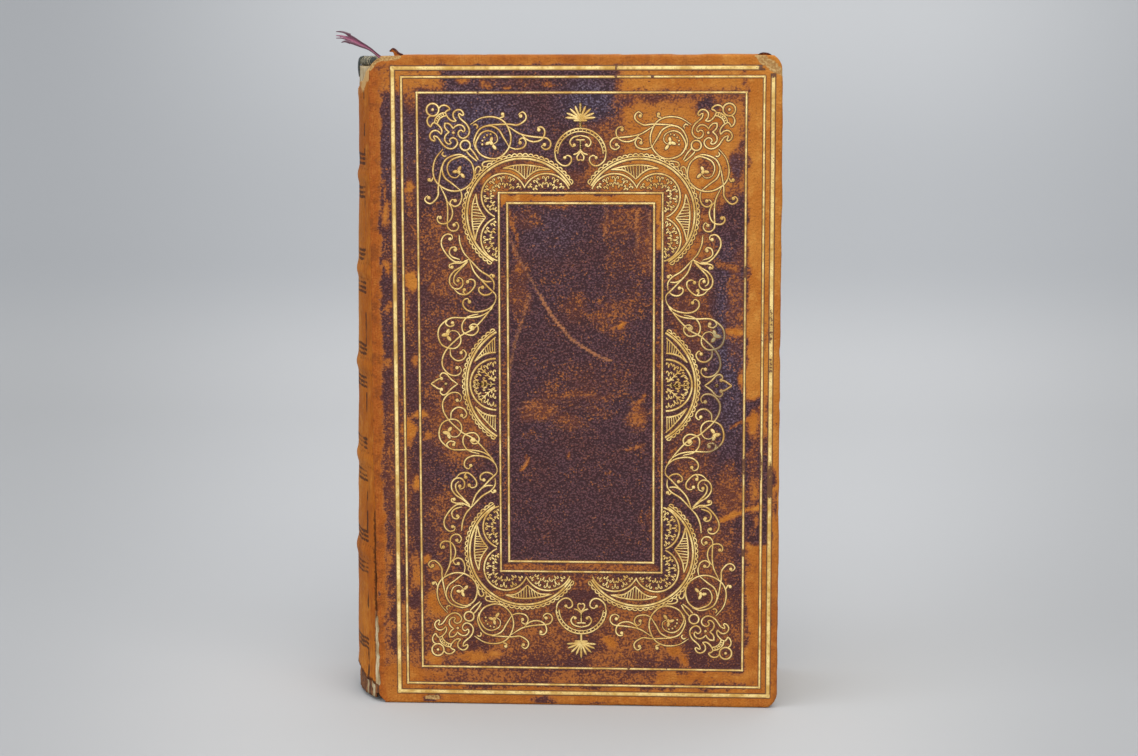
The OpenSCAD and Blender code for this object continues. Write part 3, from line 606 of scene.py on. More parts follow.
# Pale scars in the dark leather: points, half width, strength.
SCARS = [
    ([(-20, 40), (-16.4, 33.5), (-12.9, 27.2), (-10.6, 23.2)], 0.46, 0.55),
    ([(-11.5, 24.8), (-8.6, 19.8), (-5.6, 16), (-2.4, 12.6), (1.5, 10), (4.6, 8.2), (7.6, 7.1)],
     0.46, 0.74),
    ([(-14.3, 25.2), (-16.7, 17.4), (-19.1, 9.6), (-20.2, 0.8)], 0.6, 0.46),
    ([(-19.6, 44), (-17.6, 36)], 0.3, 0.4), ([(-14, -1.6), (-2, -2.2), (10, -2)], 0.3, 0.35),
    ([(0, 19), (10, 18)], 0.25, 0.3), ([(-17, -23), (-15, -20.4)], 0.35, 0.5),
    ([(-43, -34), (-36, -38)], 0.25, 0.5), ([(-44, 24), (-38, 29)], 0.3, 0.4),
    ([(-17, -4.4), (-9, -3.8), (-4, -4.6)], 0.35, 0.4), ([(-18, -6.4), (-12, -5.6), (-6, -6.6)], 0.4, 0.44),
    ([(-16, -8.2), (-8, -7.6)], 0.4, 0.44), ([(-13, -10), (-5, -9.2), (1, -10)], 0.35, 0.42),
    ([(-10, -11.8), (-2, -11.2), (3, -11.8)], 0.35, 0.42), ([(-15, -12.8), (-11, -13.2)], 0.3, 0.36),
    ([(-2, -6), (5, -5.4), (9, -6)], 0.35, 0.38), ([(1, -8), (8, -7.4)], 0.35, 0.38),
    ([(12.5, -5), (18, -4.2)], 0.4, 0.44), ([(12, -7.6), (18.4, -7)], 0.4, 0.44),
    ([(13, -10.4), (18, -9.6)], 0.4, 0.42), ([(12, -13), (17, -12.2)], 0.35, 0.4),
    ([(11.5, -17.6), (17.5, -15.8)], 0.35, 0.42), ([(6.4, 49), (6.2, 40)], 0.5, 0.4),
    ([(14.8, 48.5), (14.6, 36)], 0.5, 0.42), ([(18.2, 48), (18.4, 31)], 0.6, 0.42),
    ([(10.6, 47), (10.4, 39)], 0.4, 0.34),
]

# Patches where the dark surface is kept.
KEPT_SPOTS = [
    (1, 76, 6.5, 5, 0.85), (1, 83, 5.4, 2.4, 0.8), (12, 77, 3, 1.4, 0.5), (20, 78.6, 4, 1.3, 0.35),
    (33.5, 76.6, 3.8, 2.3, 0.75), (37.5, 75, 3, 2, 0.4), (41.8, 60, 2.6, 5, 0.7), (43.2, 66, 1.2, 3, 0.5),
    (40.5, 44, 4, 7, 0.5), (44.5, 31.5, 1.4, 2.4, 0.7), (36, 70, 2, 2, 0.35), (27, 79, 2, 0.8, 0.3),
    (34, 60, 2.8, 2.8, 0.5), (52.2, -24.5, 1.7, 3.8, 0.85), (53.8, -33, 2.2, 5, 0.7),
    (50.2, -15, 0.7, 3, 0.4), (50.1, 14, 0.6, 8, 0.45), (-57.9, -58, 0.62, 28, 1),
    (-42.3, -88.4, 3.4, 1.4, 0.9), (-10.5, -89, 5, 1.2, 0.75), (4, -88.8, 3, 0.6, 0.5),
    (-52.4, -63.5, 1.6, 3.6, 0.95), (-52.4, -72.3, 1.5, 4.2, 0.95), (-53.2, 75, 2, 3.6, 0.6),
    (-53.6, 66, 1.4, 6, 0.5), (-47, -61, 1.7, 2.8, 0.65), (-47, -70, 1.4, 2.4, 0.45),
    (0, 85.4, 8.5, 0.9, 0.7),
]

# Painted sheen: grey-blue patches on the dark leather that stand in for the room's reflection.
PAINTED_SHEEN_SPOTS = [
    (-30, 68, 20, 16, 0.8), (-50, 64, 6, 18, 0.9), (2, 77, 10, 8, 0.9), (40, 10, 6, 30, 0.8),
    (-8, 42, 10, 9, 0.35), (40, 58, 5, 8, 0.7),
]

# Where the front cover is stripped to its board: the corner, the flake at the head, the chip at the tail.
BARE_CORNER = (50.4, 87.4, 5.4, 1.7, 0.7, -36)
BARE_HEAD = [(-57.3, 86.5), (-56.3, 88.2), (-55.0, 88.9), (-52.0, 89.2), (-49.6, 89.3)]
BARE_TAIL = (-42.3, -88.4, 2.6, 0.95, 0.85)
# The soft rub in the middle of the back cover.
BACK_RUB = (4, -12, 26, 40, 0.3, 12)
# Slow and quick waves in the face of a cover: depth, cell, seed.
COVER_WAVES = ((0.05, 9, 41), (0.03, 2.4, 42))


def spot(x, up, row, inner=0.2, outer=1.45):
    """Strength of one spot at the given places."""
    cx, cu, rx, ru, strength, turn = (*row, 0)[:6]
    a = math.radians(turn)
    dx, du = x - cx, up - cu
    px, pu = dx * math.cos(a) + du * math.sin(a), du * math.cos(a) - dx * math.sin(a)
    return strength * (1 - fade(np.hypot(px / rx, pu / ru), inner, outer))


def spots(x, up, rows, inner=0.2, outer=1.45):
    """The strongest of several spots."""
    return np.maximum.reduce([spot(x, up, row, inner, outer) for row in rows])


def near_line(x, up, points, half_width, strength):
    """Full strength on a line through the points, fading over its half width."""
    best = np.full(np.shape(x), np.inf)
    line = curve(points, 1.0)
    for (x0, u0), (x1, u1) in zip(line, line[1:]):
        span = (x1 - x0) ** 2 + (u1 - u0) ** 2
        t = np.clip(((x - x0) * (x1 - x0) + (up - u0) * (u1 - u0)) / span, 0, 1)
        best = np.minimum(best, np.hypot(x - x0 - t * (x1 - x0), up - u0 - t * (u1 - u0)))
    return strength * (1 - fade(best, half_width * 0.6, half_width * 1.7))


def near_lines(x, up, rows):
    """The strongest of several lines."""
    return np.maximum.reduce([near_line(x, up, *row) for row in rows])


def front_wear(x, up):
    """Wear of the front cover in 0..1 at places on it."""
    jx = x + ripple(x, up, (1.6, 3.1, 3), (0.8, 1.3, 5))
    ju = up + ripple(x, up, (1.6, 3.1, 4), (0.8, 1.3, 6))
    wear = np.maximum(0.08, 0.85 * spots(jx, ju, SPECKLED_SPOTS, 0.4, 1.35))
    for x0, x1, u0, u1, strength, soft in RUBBED_BLOCKS:
        depth = np.minimum(np.minimum(jx - x0, x1 - jx), np.minimum(ju - u0, u1 - ju))
        wear = np.maximum(wear, strength * fade(depth, -soft, soft))
    wear = np.maximum(wear, spots(jx, ju, RUBBED_SPOTS))
    wear = np.maximum(wear, near_lines(jx, ju, SCRATCHES))
    for row in KEPT_SPOTS:
        wear = wear * (1 - 0.95 * spot(jx, ju, row, 0.5, 1.2))
    return np.clip(wear, 0, 1)


def front_warm(x, up):
    """Where the dark leather has gone red-brown: the tail of the cover and along the joint."""
    ragged = up + ripple(x, up, (6, 7.0, 8))
    return np.maximum(0.9 * (1 - fade(ragged, -58, -48)), 0.5 * (1 - fade(x, -46, -38)))


def front_bare(x, up):
    """Where the front cover is stripped to its board."""
    bare = np.maximum(spot(x, up, BARE_CORNER, 0.6, 1.3), near_line(x, up, BARE_HEAD, 0.6, 0.9))
    return np.maximum(bare, spot(x, up, BARE_TAIL, 0.6, 1.2))


def front_deep(x, up):
    """Where the front cover's tan is deeper: the joint, the tail, the head and the fore-edge."""
    tail = 0.4 * (1 - fade(up, -72, -54)) * (1 - fade(x, 38, 44))
    head = fade(up, 85, 88) * (1 - fade(x, 20, 44))
    fore = fade(x, 44, 47) * (1 - fade(up, -50, -36))
    return np.maximum(np.maximum(joint_deep(x), tail), 0.5 * np.maximum(head, fore))


def joint_deep(x):
    """Deeper tan along a cover's joint."""
    return 1 - fade(x, -57, -52)


def back_wear(x, up):
    """Wear of the hidden back cover: rubbed edges and a soft rub in the middle."""
    edge = np.minimum(np.minimum(x + RULE_X, COVER_W - RULE_X - x), RULE_Z - np.abs(up))
    ragged = edge + ripple(x, up, (2.2, 4.0, 21), (1.2, 1.6, 22))
    wear = 0.1 + 0.85 * (1 - fade(ragged, 2.0, 6.0))
    wear = np.maximum(wear, 0.4 * value_noise(x, up, 14.0, 23) ** 2)
    return np.clip(np.maximum(wear, spot(x, up, BACK_RUB, 0.2, 1.3)), 0, 1)


def front_values(x, up):
    """What the leather's material reads on the front cover."""
    return {"wear": front_wear(x, up), "painted_sheen": spots(x, up, PAINTED_SHEEN_SPOTS, 0.2, 1.3), "bare": front_bare(x, up),
            "deep": front_deep(x, up), "scar": near_lines(x, up, SCARS), "warm": front_warm(x, up)}


def back_values(x, up):
    """The same on the back cover."""
    none = np.zeros(len(x))
    # A little painted sheen evenly over the whole back cover.
    return {"wear": back_wear(x, up), "painted_sheen": none + 0.2, "bare": none,
            "deep": joint_deep(x), "scar": none, "warm": none + 0.2}


# Covers

# Leather torn from the front cover's edge along the open joint, by height.
JOINT_TORN = [
    (0, 0.4), (4, 0.6), (6, 1), (13, 1), (14.5, 0.7), (24, 0.65), (27, 0.5), (50, 0.45), (60, 0.2), (66, 0),
    (180, 0),
]
# Section over a cover's edge: reach out and drop, in edge radii.
EDGE_SECTION = [(0.5, 0.13), (0.87, 0.5), (1.0, 1.0), (1.0, 2.0), (1.0, 3.2), (0.8, 4.6), (0.3, 5.2)]
# Section of the lip at the joint, half round and back under the leather: reach in, drop.
LIP_SECTION = [(-0.28, 0.1), (-0.4, 0.4), (-0.28, 0.68), (0.1, 0.8), (2.0, 0.8)]
LIP_BULGE = 0.3
TURN_IN_T = 0.45
# The leather's face lies this far inside the CAD's.
FACE_SINK = 0.02


def left_edge(z):
    """Spine-side edge of a cover's leather: rounded off at head and tail."""
    head, tail = np.clip((z - COVER_H + 4) / 4, 0, 1), np.clip((3 - z) / 3, 0, 1)
    return HINGE_X + 0.3 + 4.0 * head ** 2 + 2.0 * tail ** 2


def right_edge(z):
    """Fore-edge of a cover's leather, with round corners and the dents of use."""
    d = np.clip(CORNER_R - np.minimum(z, COVER_H - z), 0, CORNER_R)
    return COVER_W - CORNER_R + np.sqrt(CORNER_R ** 2 - d ** 2) - 0.25 * value_noise(z, 0 * z, 7.0, 31)


def outward_ways(base, rows, columns):
    """Unit directions (x, z) out of a cover along its tail, fore-edge and head."""
    out = np.zeros((len(base), 2))
    out[:columns, 1] = -1
    out[columns - 1:columns - 1 + rows, 0] = 1
    out[columns + rows - 2:, 1] = 1
    from_end = np.minimum(base[:, 2], COVER_H - base[:, 2])
    corner = np.clip(1 - from_end / CORNER_R, 0, 1) * (base[:, 0] > COVER_W - CORNER_R - 1)
    slanted = np.where(base[:, 2] > RULE_Z, corner, -corner)
    out[:, 1] = np.where(out[:, 1] != 0, out[:, 1], slanted)
    return out / np.linalg.norm(out, axis=1)[:, None]


def cover_skin(name, side, values_of, stands_for, body):
    """Leather over one cover: its face, its soft edges, its turn-ins and the lip at the joint."""
    rows, columns = 262, 160
    front = side < 0
    z = np.linspace(EDGE_R, COVER_H - EDGE_R, rows)
    low, high = left_edge(z), right_edge(z) - EDGE_R
    if front:
        ragged = 0.5 + 0.6 * value_noise(z, 0 * z, 2.6, 47) + 0.5 * value_noise(z, 0 * z, 1.1, 48)
        low = low + along(z, JOINT_TORN) * ragged
    gx = (low[:, None] + (high - low)[:, None] * np.linspace(0, 1, columns)).ravel()
    gz = np.repeat(z, columns)
    x, up = gx - RULE_X, gz - RULE_Z
    bare = front_bare(x, up) if front else np.zeros(len(x))
    crinkle = ripple(x, up * 0.6, (0.26, 1.2, 38)) * (1 - fade(x, -56.4, -54.2))
    depth = ripple(x, up, *COVER_WAVES) + 0.3 * bare + crinkle
    face = np.column_stack([gx, -HALF_T + FACE_SINK + depth, gz])
    points, faces = [face], grid_faces(rows, columns)
    index = np.arange(rows * columns).reshape(rows, columns)

    def join(previous, ring, turned=False):
        """Adds a ring of points and its faces to the ring before it."""
        start = sum(len(p) for p in points)
        now = np.arange(start, start + len(ring))
        points.append(ring)
        for a, b, c, d in zip(previous, previous[1:], now, now[1:]):
            faces.append((b, a, c, d) if turned else (a, b, d, c))
        return now

    # Tail, fore-edge and head: round over, down the side, and in to the turn-in's edge.
    previous = np.concatenate([index[0, :], index[1:, -1], index[-1, -2::-1]])
    base, sunk = face[previous], 0.15 * bare[previous]
    out = outward_ways(base, rows, columns)
    chips = 0.22 * value_noise(base[:, 0], base[:, 2], 3.0, 43)
    chips += 0.35 * fade(value_noise(base[:, 0], base[:, 2], 5.0, 44), 0.75, 0.95)
    for reach, drop in EDGE_SECTION:
        ring = base.copy()
        ring[:, [0, 2]] += out * (reach * (EDGE_R - sunk - chips * 0.5))[:, None]
        ring[:, 1] = -HALF_T + np.clip(EDGE_R * drop, base[:, 1] + HALF_T, COVER_T)
        previous = join(previous, ring)
    for y in (COVER_T, COVER_T - TURN_IN_T):
        inner_x = np.minimum(base[:, 0], COVER_W - TURN_IN_W)
        inner_z = np.clip(base[:, 2], TURN_IN_W, COVER_H - TURN_IN_W)
        previous = join(previous, np.column_stack([inner_x, np.full(len(base), -HALF_T + y), inner_z]))
    previous = index[:, 0]
    base = face[previous]
    bulge = LIP_BULGE * (1 - fade(np.abs(base[:, 2] - RULE_Z), 80, 87))
    for dx, dy in LIP_SECTION:
        lip_x = base[:, 0] + dx - bulge * (dx < 0.05)
        ring = np.column_stack([lip_x, np.full(rows, -HALF_T + dy), base[:, 2]])
        previous = join(previous, ring, turned=True)

    points = np.vstack(points)
    x, up = points[:, 0] - RULE_X, points[:, 2] - RULE_Z
    values = values_of(x, up)
    wear = values["wear"]
    edge_wear = np.clip(0.75 + 0.5 * (value_noise(x, up, 4, 45) - 0.4), 0, 1)
    wear[rows * columns:] = np.maximum(wear, edge_wear)[rows * columns:]
    inside = points[:, 1] > -HALF_T + COVER_T - 0.6
    values["wear"] = np.where(inside, 0.5 + 0.3 * value_noise(x, up, 6, 46), wear)
    points[:, 1] *= -side
    return make(name, points, faces, body, LEATHER, stands_for, values)


cover_skin("front_leather_skin", -1, front_values, ["front_leather"], "front_cover")
cover_skin("back_leather_skin", 1, back_values, ["back_leather"], "back_cover")


# Gold tooling

# The drawing is the upper left quarter, in (x, up); its middle lines are here.
MID_X, MID_UP = -0.45, 0.4
# Half widths of lines, and the radius of a curl's end.
HAIR, FINE, HEAVY = 0.21, 0.15, 0.3
SCALLOP, HATCH, STEM = 0.17, 0.13, 0.16
LOBE, FAN, EYE_RING = 0.23, 0.22, 0.26
BLOB = 0.5
# How much a line narrows at its ends.
TAPER = 0.55

# Corner fleuron, one half: the other half is its mirror image across the diagonal.
DIAGONAL_AT, DIAGONAL_ALONG = (-40.5, 75.4), (0.66, -0.75)
FLEURON = [
    [(-38.8, 75.6), (-38.2, 76.3), (-37.2, 76.5), (-36.3, 76.1), (-35.8, 75.4), (-36.3, 75.2),
     (-36.9, 74.8), (-37, 74.4)],
    [(-39.1, 73.7), (-38.2, 74.3), (-37, 74.5)], [(-38.6, 72.9), (-37.7, 73.5), (-36.7, 73.7)],
    [(-37, 74.5), (-36.7, 73.7), (-35.9, 72.7), (-35, 72.2), (-34.1, 72.3)],
    [(-34.1, 72.3), (-34.8, 73.2), (-34.9, 74.3), (-34.2, 75.1), (-33.2, 75.3), (-32.4, 74.8), (-32.1, 74),
     (-32.5, 73.8), (-33.1, 74.2), (-33.5, 74.2)],
    [(-33.5, 74.2), (-33.2, 73.2), (-32.3, 72.3), (-31.4, 71.5), (-30.7, 70.3), (-30.6, 69.1),
     (-31.2, 68.1), (-32.3, 67.6), (-33.2, 68), (-33.6, 68.9), (-33.3, 69.6), (-32.7, 69.8), (-32.2, 69.3)],
    [(-37.4, 71.6), (-36.3, 71.6), (-35.5, 71), (-35, 70.2)],
    [(-35, 70.2), (-34.4, 70.8), (-33.6, 71.2), (-32.6, 71.1), (-31.9, 70.4), (-31.8, 69.7), (-32.2, 69.3)],
    [(-30.4, 64.9), (-29.3, 63.6), (-28.2, 61.8)],
]
FLEURON_BEADS = [(-38.8, 73.3), (-38.2, 73.8), (-37.6, 74)]

# Big volute over the head, with its leaf, curls and branches; mirrored across the diagonal for the side.
VOLUTE = [
    [(-30.3, 71.3), (-27.5, 73), (-24.5, 73.4), (-22, 72.7), (-20.3, 71), (-19.3, 68), (-19.9, 65),
     (-22, 62.7), (-24.5, 62.1), (-27.5, 63.2), (-28.9, 65.6), (-28.2, 67.8), (-27, 69.2), (-25.2, 69.6),
     (-23.3, 68.6), (-23, 66.9), (-24.2, 65.9)],
    [(-19.7, 65.2), (-21.3, 67.8), (-22.7, 70), (-25.2, 71), (-27.8, 70), (-29.3, 67), (-28.9, 64.5)],
    [(-19.7, 65.2), (-18, 64.7), (-16, 65.1), (-15.2, 66.4), (-15.9, 67.7), (-17, 67.2), (-16.8, 66.4)],
    [(-25.5, 71.2), (-20, 71.4), (-17.5, 71.2), (-15.4, 72.5), (-15.2, 73.8), (-16.1, 74.7), (-17.1, 74),
     (-16.6, 73.5)],
    [(-20, 70.8), (-17, 68.9), (-14.5, 68.2), (-12, 67.9), (-10.5, 67.8), (-9.3, 67.5), (-8.5, 66.4),
     (-8.8, 65.1), (-10, 64.6), (-11, 65.4), (-10.1, 66)],
    [(-16.5, 68.7), (-15, 67.3), (-13.3, 66.7), (-11.5, 67), (-10.4, 68), (-10.1, 69.6), (-10.9, 70.6),
     (-12, 70.5), (-11.7, 69.8)],
    [(-22.3, 73.1), (-21.2, 73.5), (-21.5, 74.2)],
    [(-29.5, 71.1), (-28.8, 71.4), (-28.3, 70.8), (-28.6, 70.2)],
]
VOLUTE_BLOBS = [(-16.8, 66.4), (-16.6, 73.6), (-10.2, 65.9), (-11.7, 69.9), (-21.5, 74.1)]
# Leaf in the eye of the volute: x, up, half length, half width, turn.
VOLUTE_LEAF = [
    (-24.6, 67.3, 0.78, 0.44, 75), (-25.5, 66.3, 0.88, 0.44, 20), (-23.8, 65.2, 0.84, 0.44, -50),
    (-24.6, 66.3, 0.52, 0.52, 0),
]

# Side scrolls between the lunette and the rosette.
SIDE = [
    [(-33, 34.2), (-35, 34.2), (-37, 36), (-38.4, 38.5), (-38.2, 40.5), (-37, 41.6), (-35.6, 41.3),
     (-35.5, 40.3), (-36.2, 40.2)],
    [(-33.5, 34.7), (-35.5, 35.4), (-36.3, 36.5), (-35.9, 37.8), (-34.8, 38.1), (-34.2, 37.4),
     (-34.7, 37.2)],
    [(-30.9, 34.9), (-32.3, 36.5), (-33.3, 39), (-33.6, 41.5)],
    [(-30.9, 34.9), (-33, 33.8), (-35, 33.7), (-36.3, 33.2), (-36.2, 32.4), (-35.6, 32.5)],
    [(-30.9, 34.9), (-33, 32.8), (-35, 31.5), (-36.2, 29.8), (-36.2, 28), (-35.2, 26.8), (-33.7, 26.7),
     (-32.7, 27.8), (-32.9, 29.3), (-34, 29.7), (-34, 28.8)],
    [(-31.2, 34.2), (-33.4, 32), (-34.9, 30.2), (-35.1, 28.4), (-34.2, 27.6)],
    [(-35, 26.5), (-33.8, 25.4), (-32, 25.1), (-30.6, 25.9), (-29.4, 27.5), (-29.5, 28.9), (-30.7, 29.3),
     (-31.5, 28.6)],
    [(-32, 25.1), (-32.6, 25.8), (-32.3, 26.4)],
    [(-30.9, 34.9), (-28, 31.8), (-25.4, 30.1), (-24.2, 28.5), (-24.2, 26.5)],
    [(-30.9, 34.9), (-29.5, 31.3), (-27, 28.5), (-25.3, 26.7), (-23.8, 25.2), (-23.6, 24)],
    [(-28.2, 29.6), (-26.5, 28.7), (-24.8, 28.7)], [(-25.4, 30.1), (-24.8, 30.7), (-24.2, 30.2)],
    [(-24.5, 26), (-25.5, 25.2), (-27, 25), (-28.2, 25.9), (-28.2, 27), (-27.3, 27.2)],
    [(-23.6, 24), (-24.2, 22.5), (-26, 21), (-29, 20.3), (-31.3, 20.7), (-32.6, 22), (-32.5, 23.5),
     (-31.4, 24), (-30.9, 23)],
    [(-24.2, 22.5), (-25.2, 20.8), (-28, 19.2), (-32, 18.7), (-36, 18.6), (-38.9, 16.5), (-39.6, 14),
     (-38.8, 11.5), (-37, 10.4), (-35, 10.3), (-33.6, 11.5), (-33.4, 13.3), (-34.4, 14.9), (-36, 15.1),
     (-36.8, 14.2)],
    [(-28.5, 19.8), (-31.5, 18.9), (-32.9, 17), (-32.8, 15), (-31.5, 14.1), (-29.8, 14), (-28.6, 15.2),
     (-28.8, 16.6), (-30.1, 17), (-31, 16.1), (-30.3, 15.4)],
    [(-24, 22.8), (-25.9, 20), (-28.5, 17), (-30.5, 15.3), (-33, 14), (-35, 12.3), (-37, 10.3), (-38.3, 8),
     (-38.5, 5.5), (-37.3, 3.6), (-35.8, 2.8), (-34.2, 2.9), (-33.3, 4), (-33.7, 5.2), (-34.5, 4.8)],
    [(-36.8, 18.3), (-37.5, 17.2), (-36.5, 16.3), (-35.2, 16.7), (-35.6, 17.4)],
    [(-36.3, 10.2), (-36.1, 8.2), (-34.5, 6.9), (-32.7, 7.3), (-31.9, 8.8), (-32.8, 9.9), (-33.3, 9)],
    [(-29, 58.1), (-28.9, 59.4), (-28.2, 60), (-27.6, 59.6), (-27.7, 58.9)],
    [(-26.3, 60), (-27.1, 60.2), (-26.9, 61), (-25.8, 61.4), (-24.2, 61.5)],
    [(-34.3, 0.4), (-36, 1.6), (-37.5, 3.2), (-38.6, 3.4), (-39.2, 2.6), (-38.7, 1.9)],
    [(-38.7, 1.9), (-39.7, 1.7), (-41.7, 0.4)],
]
SIDE_BLOBS = [
    (-36.1, 40.3), (-34.7, 37.3), (-35.6, 32.6), (-34, 28.9), (-31.4, 28.6), (-32.3, 26.4), (-24.3, 30.2),
    (-27.3, 27.1), (-30.9, 23.1), (-34.5, 4.9), (-35.6, 17.3), (-33.3, 9.1), (-38.8, 1.9),
]
SIDE_LEAF = [
    (-37.6, 14, 1.2, 0.55, 10), (-36.6, 13, 0.9, 0.5, -50), (-36.9, 15, 0.8, 0.45, 60),
    (-30.2, 15.9, 0.75, 0.75, 0),
]

# Rings and beads of one quarter: x, up, radius.
RINGS = [(-40.5, 75.3, 1.67), (-31.7, 65.7, 1.35)]
BEADS = [(-40.5, 75.3, 0.4), (-34.9, 69.1, 0.4), (-37.6, 0.4, 0.4)]
BEADS += [(x, up, 0.27) for x, up in on_circle(-24.7, 66.3, 2.4, (92, 116, 140, 164, 188))]

# Crest at the middle of the head: the left half, the beaded arch, and the palmette on its stem.
CREST = [
    [(-7.4, 64), (-7, 61.8), (-5.5, 60.4), (-4, 60.3), (-3, 61.3), (-3, 62.5), (-4, 63), (-4.8, 62.3)],
    [(-0.45, 68.4), (-2.5, 67.8), (-3.3, 66.5), (-2.6, 65.4), (-2, 65.7)], [(-1.7, 67.2), (-0.45, 67.2)],
    [(-0.45, 64.4), (-1.3, 63.6), (-2.4, 63.2)], [(-0.45, 64), (-1.4, 62.6), (-1.1, 61.7), (-0.45, 61.9)],
]
CREST_BLOBS = [(-4.7, 62.4), (-2.1, 65.8)]
ARCH_UP, ARCH_R, ARCH_INNER_R, ARCH_BEAD_R = 63.3, 6.95, 6.15, 6.55
ARCH_BEADS = [95 + 9.6 * k for k in range(9)]
# Upright strokes on the crest's middle line: from, to, half width, taper.
CREST_STROKES = [(67.2, 64.0, HAIR, 0.2), (70.2, 72.9, HAIR * 1.4, 0)]
# Foot of the palmette's leaves, the height they bend from, and the bar under them with its half length.
PALMETTE_UP, PALMETTE_BEND_UP, BAR_UP, BAR_HALF = 72.7, 72.9, 72.4, 1.8
PALMETTE_TIPS = [(-0.45, 77.2), (-1.9, 76.3), (-3.3, 75.6), (-4.2, 74.4), (-4.5, 73.2)]

# Lunette at the panel's corner: middle, rim, heavy line, first and last angle, pitch of the scallops.
LUNETTE = (-16.3, 47.1), 15.7, 15.05, 31, 238, 1.45
# Lobes: middle, radius, first and last angle, and sprigs as (turn, share of the radius, size).
LOBES = [
    ((-21.3, 52), 6.1, 21, 246, [(34, 0.78, 0.7), (50, 0.52, 0.75), (66, 0.8, 0.85), (84, 0.5, 0.75),
     (98, 0.78, 0.9), (118, 0.52, 0.8), (128, 0.8, 0.85), (150, 0.56, 0.8), (158, 0.82, 0.85),
     (180, 0.54, 0.75), (188, 0.8, 0.85), (212, 0.58, 0.75), (218, 0.8, 0.75), (236, 0.7, 0.65)]),
    ((-9.7, 51.5), 6.6, 22, 152, [(38, 0.78, 0.75), (54, 0.56, 0.75), (64, 0.8, 0.9), (82, 0.56, 0.8),
     (92, 0.8, 0.9), (110, 0.56, 0.8), (120, 0.8, 0.85), (138, 0.6, 0.7), (144, 0.82, 0.65)]),
    ((-21.5, 40.3), 6.1, 112, 254, [(122, 0.8, 0.8), (142, 0.56, 0.75), (152, 0.8, 0.85),
     (172, 0.54, 0.75), (182, 0.8, 0.9), (202, 0.56, 0.75), (212, 0.8, 0.85), (232, 0.58, 0.7),
     (242, 0.8, 0.75)]),
]
# Hatched fans between the lobes: rim, edge down to the point, edge back up.
FANS = [
    ([(-21.5, 59.5), (-18.8, 60.2), (-15.7, 60.4), (-12, 60), (-8.7, 59.2)], [(-21.5, 59.5), (-19.2, 59.4),
     (-17.3, 58.4), (-15.9, 57.1), (-15.35, 56.6)], [(-15.35, 56.6), (-14.7, 57.3), (-13.3, 58.4),
     (-11.7, 59.1), (-8.7, 59.2)]),
    ([(-28.9, 52.6), (-29.8, 49.8), (-30.05, 46.8), (-29.8, 43.4), (-29.2, 39.9)], [(-28.9, 52.6),
     (-28.5, 49.8), (-27.5, 47.7), (-26.7, 46.6), (-26.3, 46.1)], [(-26.3, 46.1), (-27, 45.3), (-27.9, 44),
     (-28.7, 42.2), (-29.2, 39.9)]),
]

# Half rosette beside the panel, as the lunette; its eye, and the edges of its hatched corner.
ROSETTE = (-14.9, 0.4), 17.45, 16.85, 121, 180, 1.4
ROSETTE_EYE, ROSETTE_EYE_R = (-23.75, 0.4), 7.1
# Sprigs in the rosette's eye: turn, distance out, size.
ROSETTE_SPRIGS = [
    (98, 5.7, 0.8), (117, 5.5, 0.85), (150, 5.5, 0.85), (168, 5.7, 0.8), (104, 3.4, 0.8), (163, 3.4, 0.75),
    (112, 1.6, 0.65),
]
# Leafy stems in the eye: start and end from its middle, pairs of leaflets, their length.
ROSETTE_STEMS = [((-0.2, 0), (-6.2, 0), 5, 0.9), ((-0.6, 0.9), (-4.3, 4.5), 4, 0.95)]
ROSETTE_FAN = [
    [(-29.6, 6.7), (-27.6, 9.4), (-25.6, 11.7), (-23.75, 13.5)],
    [(-29.6, 6.7), (-27.4, 8.4), (-25.3, 9.1), (-23.75, 9.2)],
]

# The five rules: middle x and up, half width, half height, half the line's width.
RULES = [
    (0, 0, 51.35, 86.5, 0.57), (0, 0, 49.0, 84.1, 0.29), (-0.3, 0.3, 44.5, 79.6, 0.26),
    (MID_X, 0.5, 22.25, 52.4, 0.24), (MID_X, 0.5, 19.95, 49.6, 0.27),
]

# Gold that is lost or tarnished on the front, as spots.
LOST_SPOTS = [
    (51.5, 88, 5, 4.6, 1), (51.2, 17, 0.8, 6, 0.55), (51.2, 6, 0.8, 3, 0.6), (51.4, -26, 1.2, 6, 0.75),
    (9, 84.2, 0.6, 0.6, 0.9), (19, 84.2, 0.4, 0.6, 0.9), (9.2, 86.6, 0.7, 1, 0.8),
    (44.3, 31.5, 0.6, 2.4, 0.7), (44.3, -22, 0.6, 4, 0.6), (48.7, -22, 0.6, 5, 0.6), (30, 48, 1.6, 6, 0.25),
    (36, -17, 4, 3, 0.4), (20, 60, 5, 2, 0.2), (44.2, -46, 0.5, 1.5, 0.7), (12.5, -79.2, 0.4, 0.5, 0.9),
    (23, -79.2, 0.4, 0.5, 0.9), (48.7, 17, 0.6, 6, 0.35), (51.3, 62, 0.8, 22, 0.3),
    (-28, 80, 0.3, 0.5, 0.8),
]
TARNISH_SPOTS = [
    (38, 10, 5, 9, 0.95), (37, -4, 5, 6, 0.7), (36, -17, 3.5, 3, 0.7), (43, 20, 3, 20, 0.3),
    (30, 16, 2.5, 4, 0.3),
]

# Section of a gold line: place across in half widths, height.
LINE_CROWN = 0.045
LINE_SECTION = [(-1, 0.0), (-0.4, LINE_CROWN), (0.4, LINE_CROWN), (1, 0.0)]
# A dot: height at its middle, rings as (share of the radius, height), and points in a ring.
DOT_CROWN, DOT_RINGS, DOT_SIDES = 0.06, ((0.6, 0.055), (1.0, 0.0)), 14
# Gold with a higher loss than this is left out.
GOLD_GONE = 0.85
# Height of the gold's and the bed's foot over the leather.
GOLD_LIFT, BED_LIFT = 0.02, 0.006


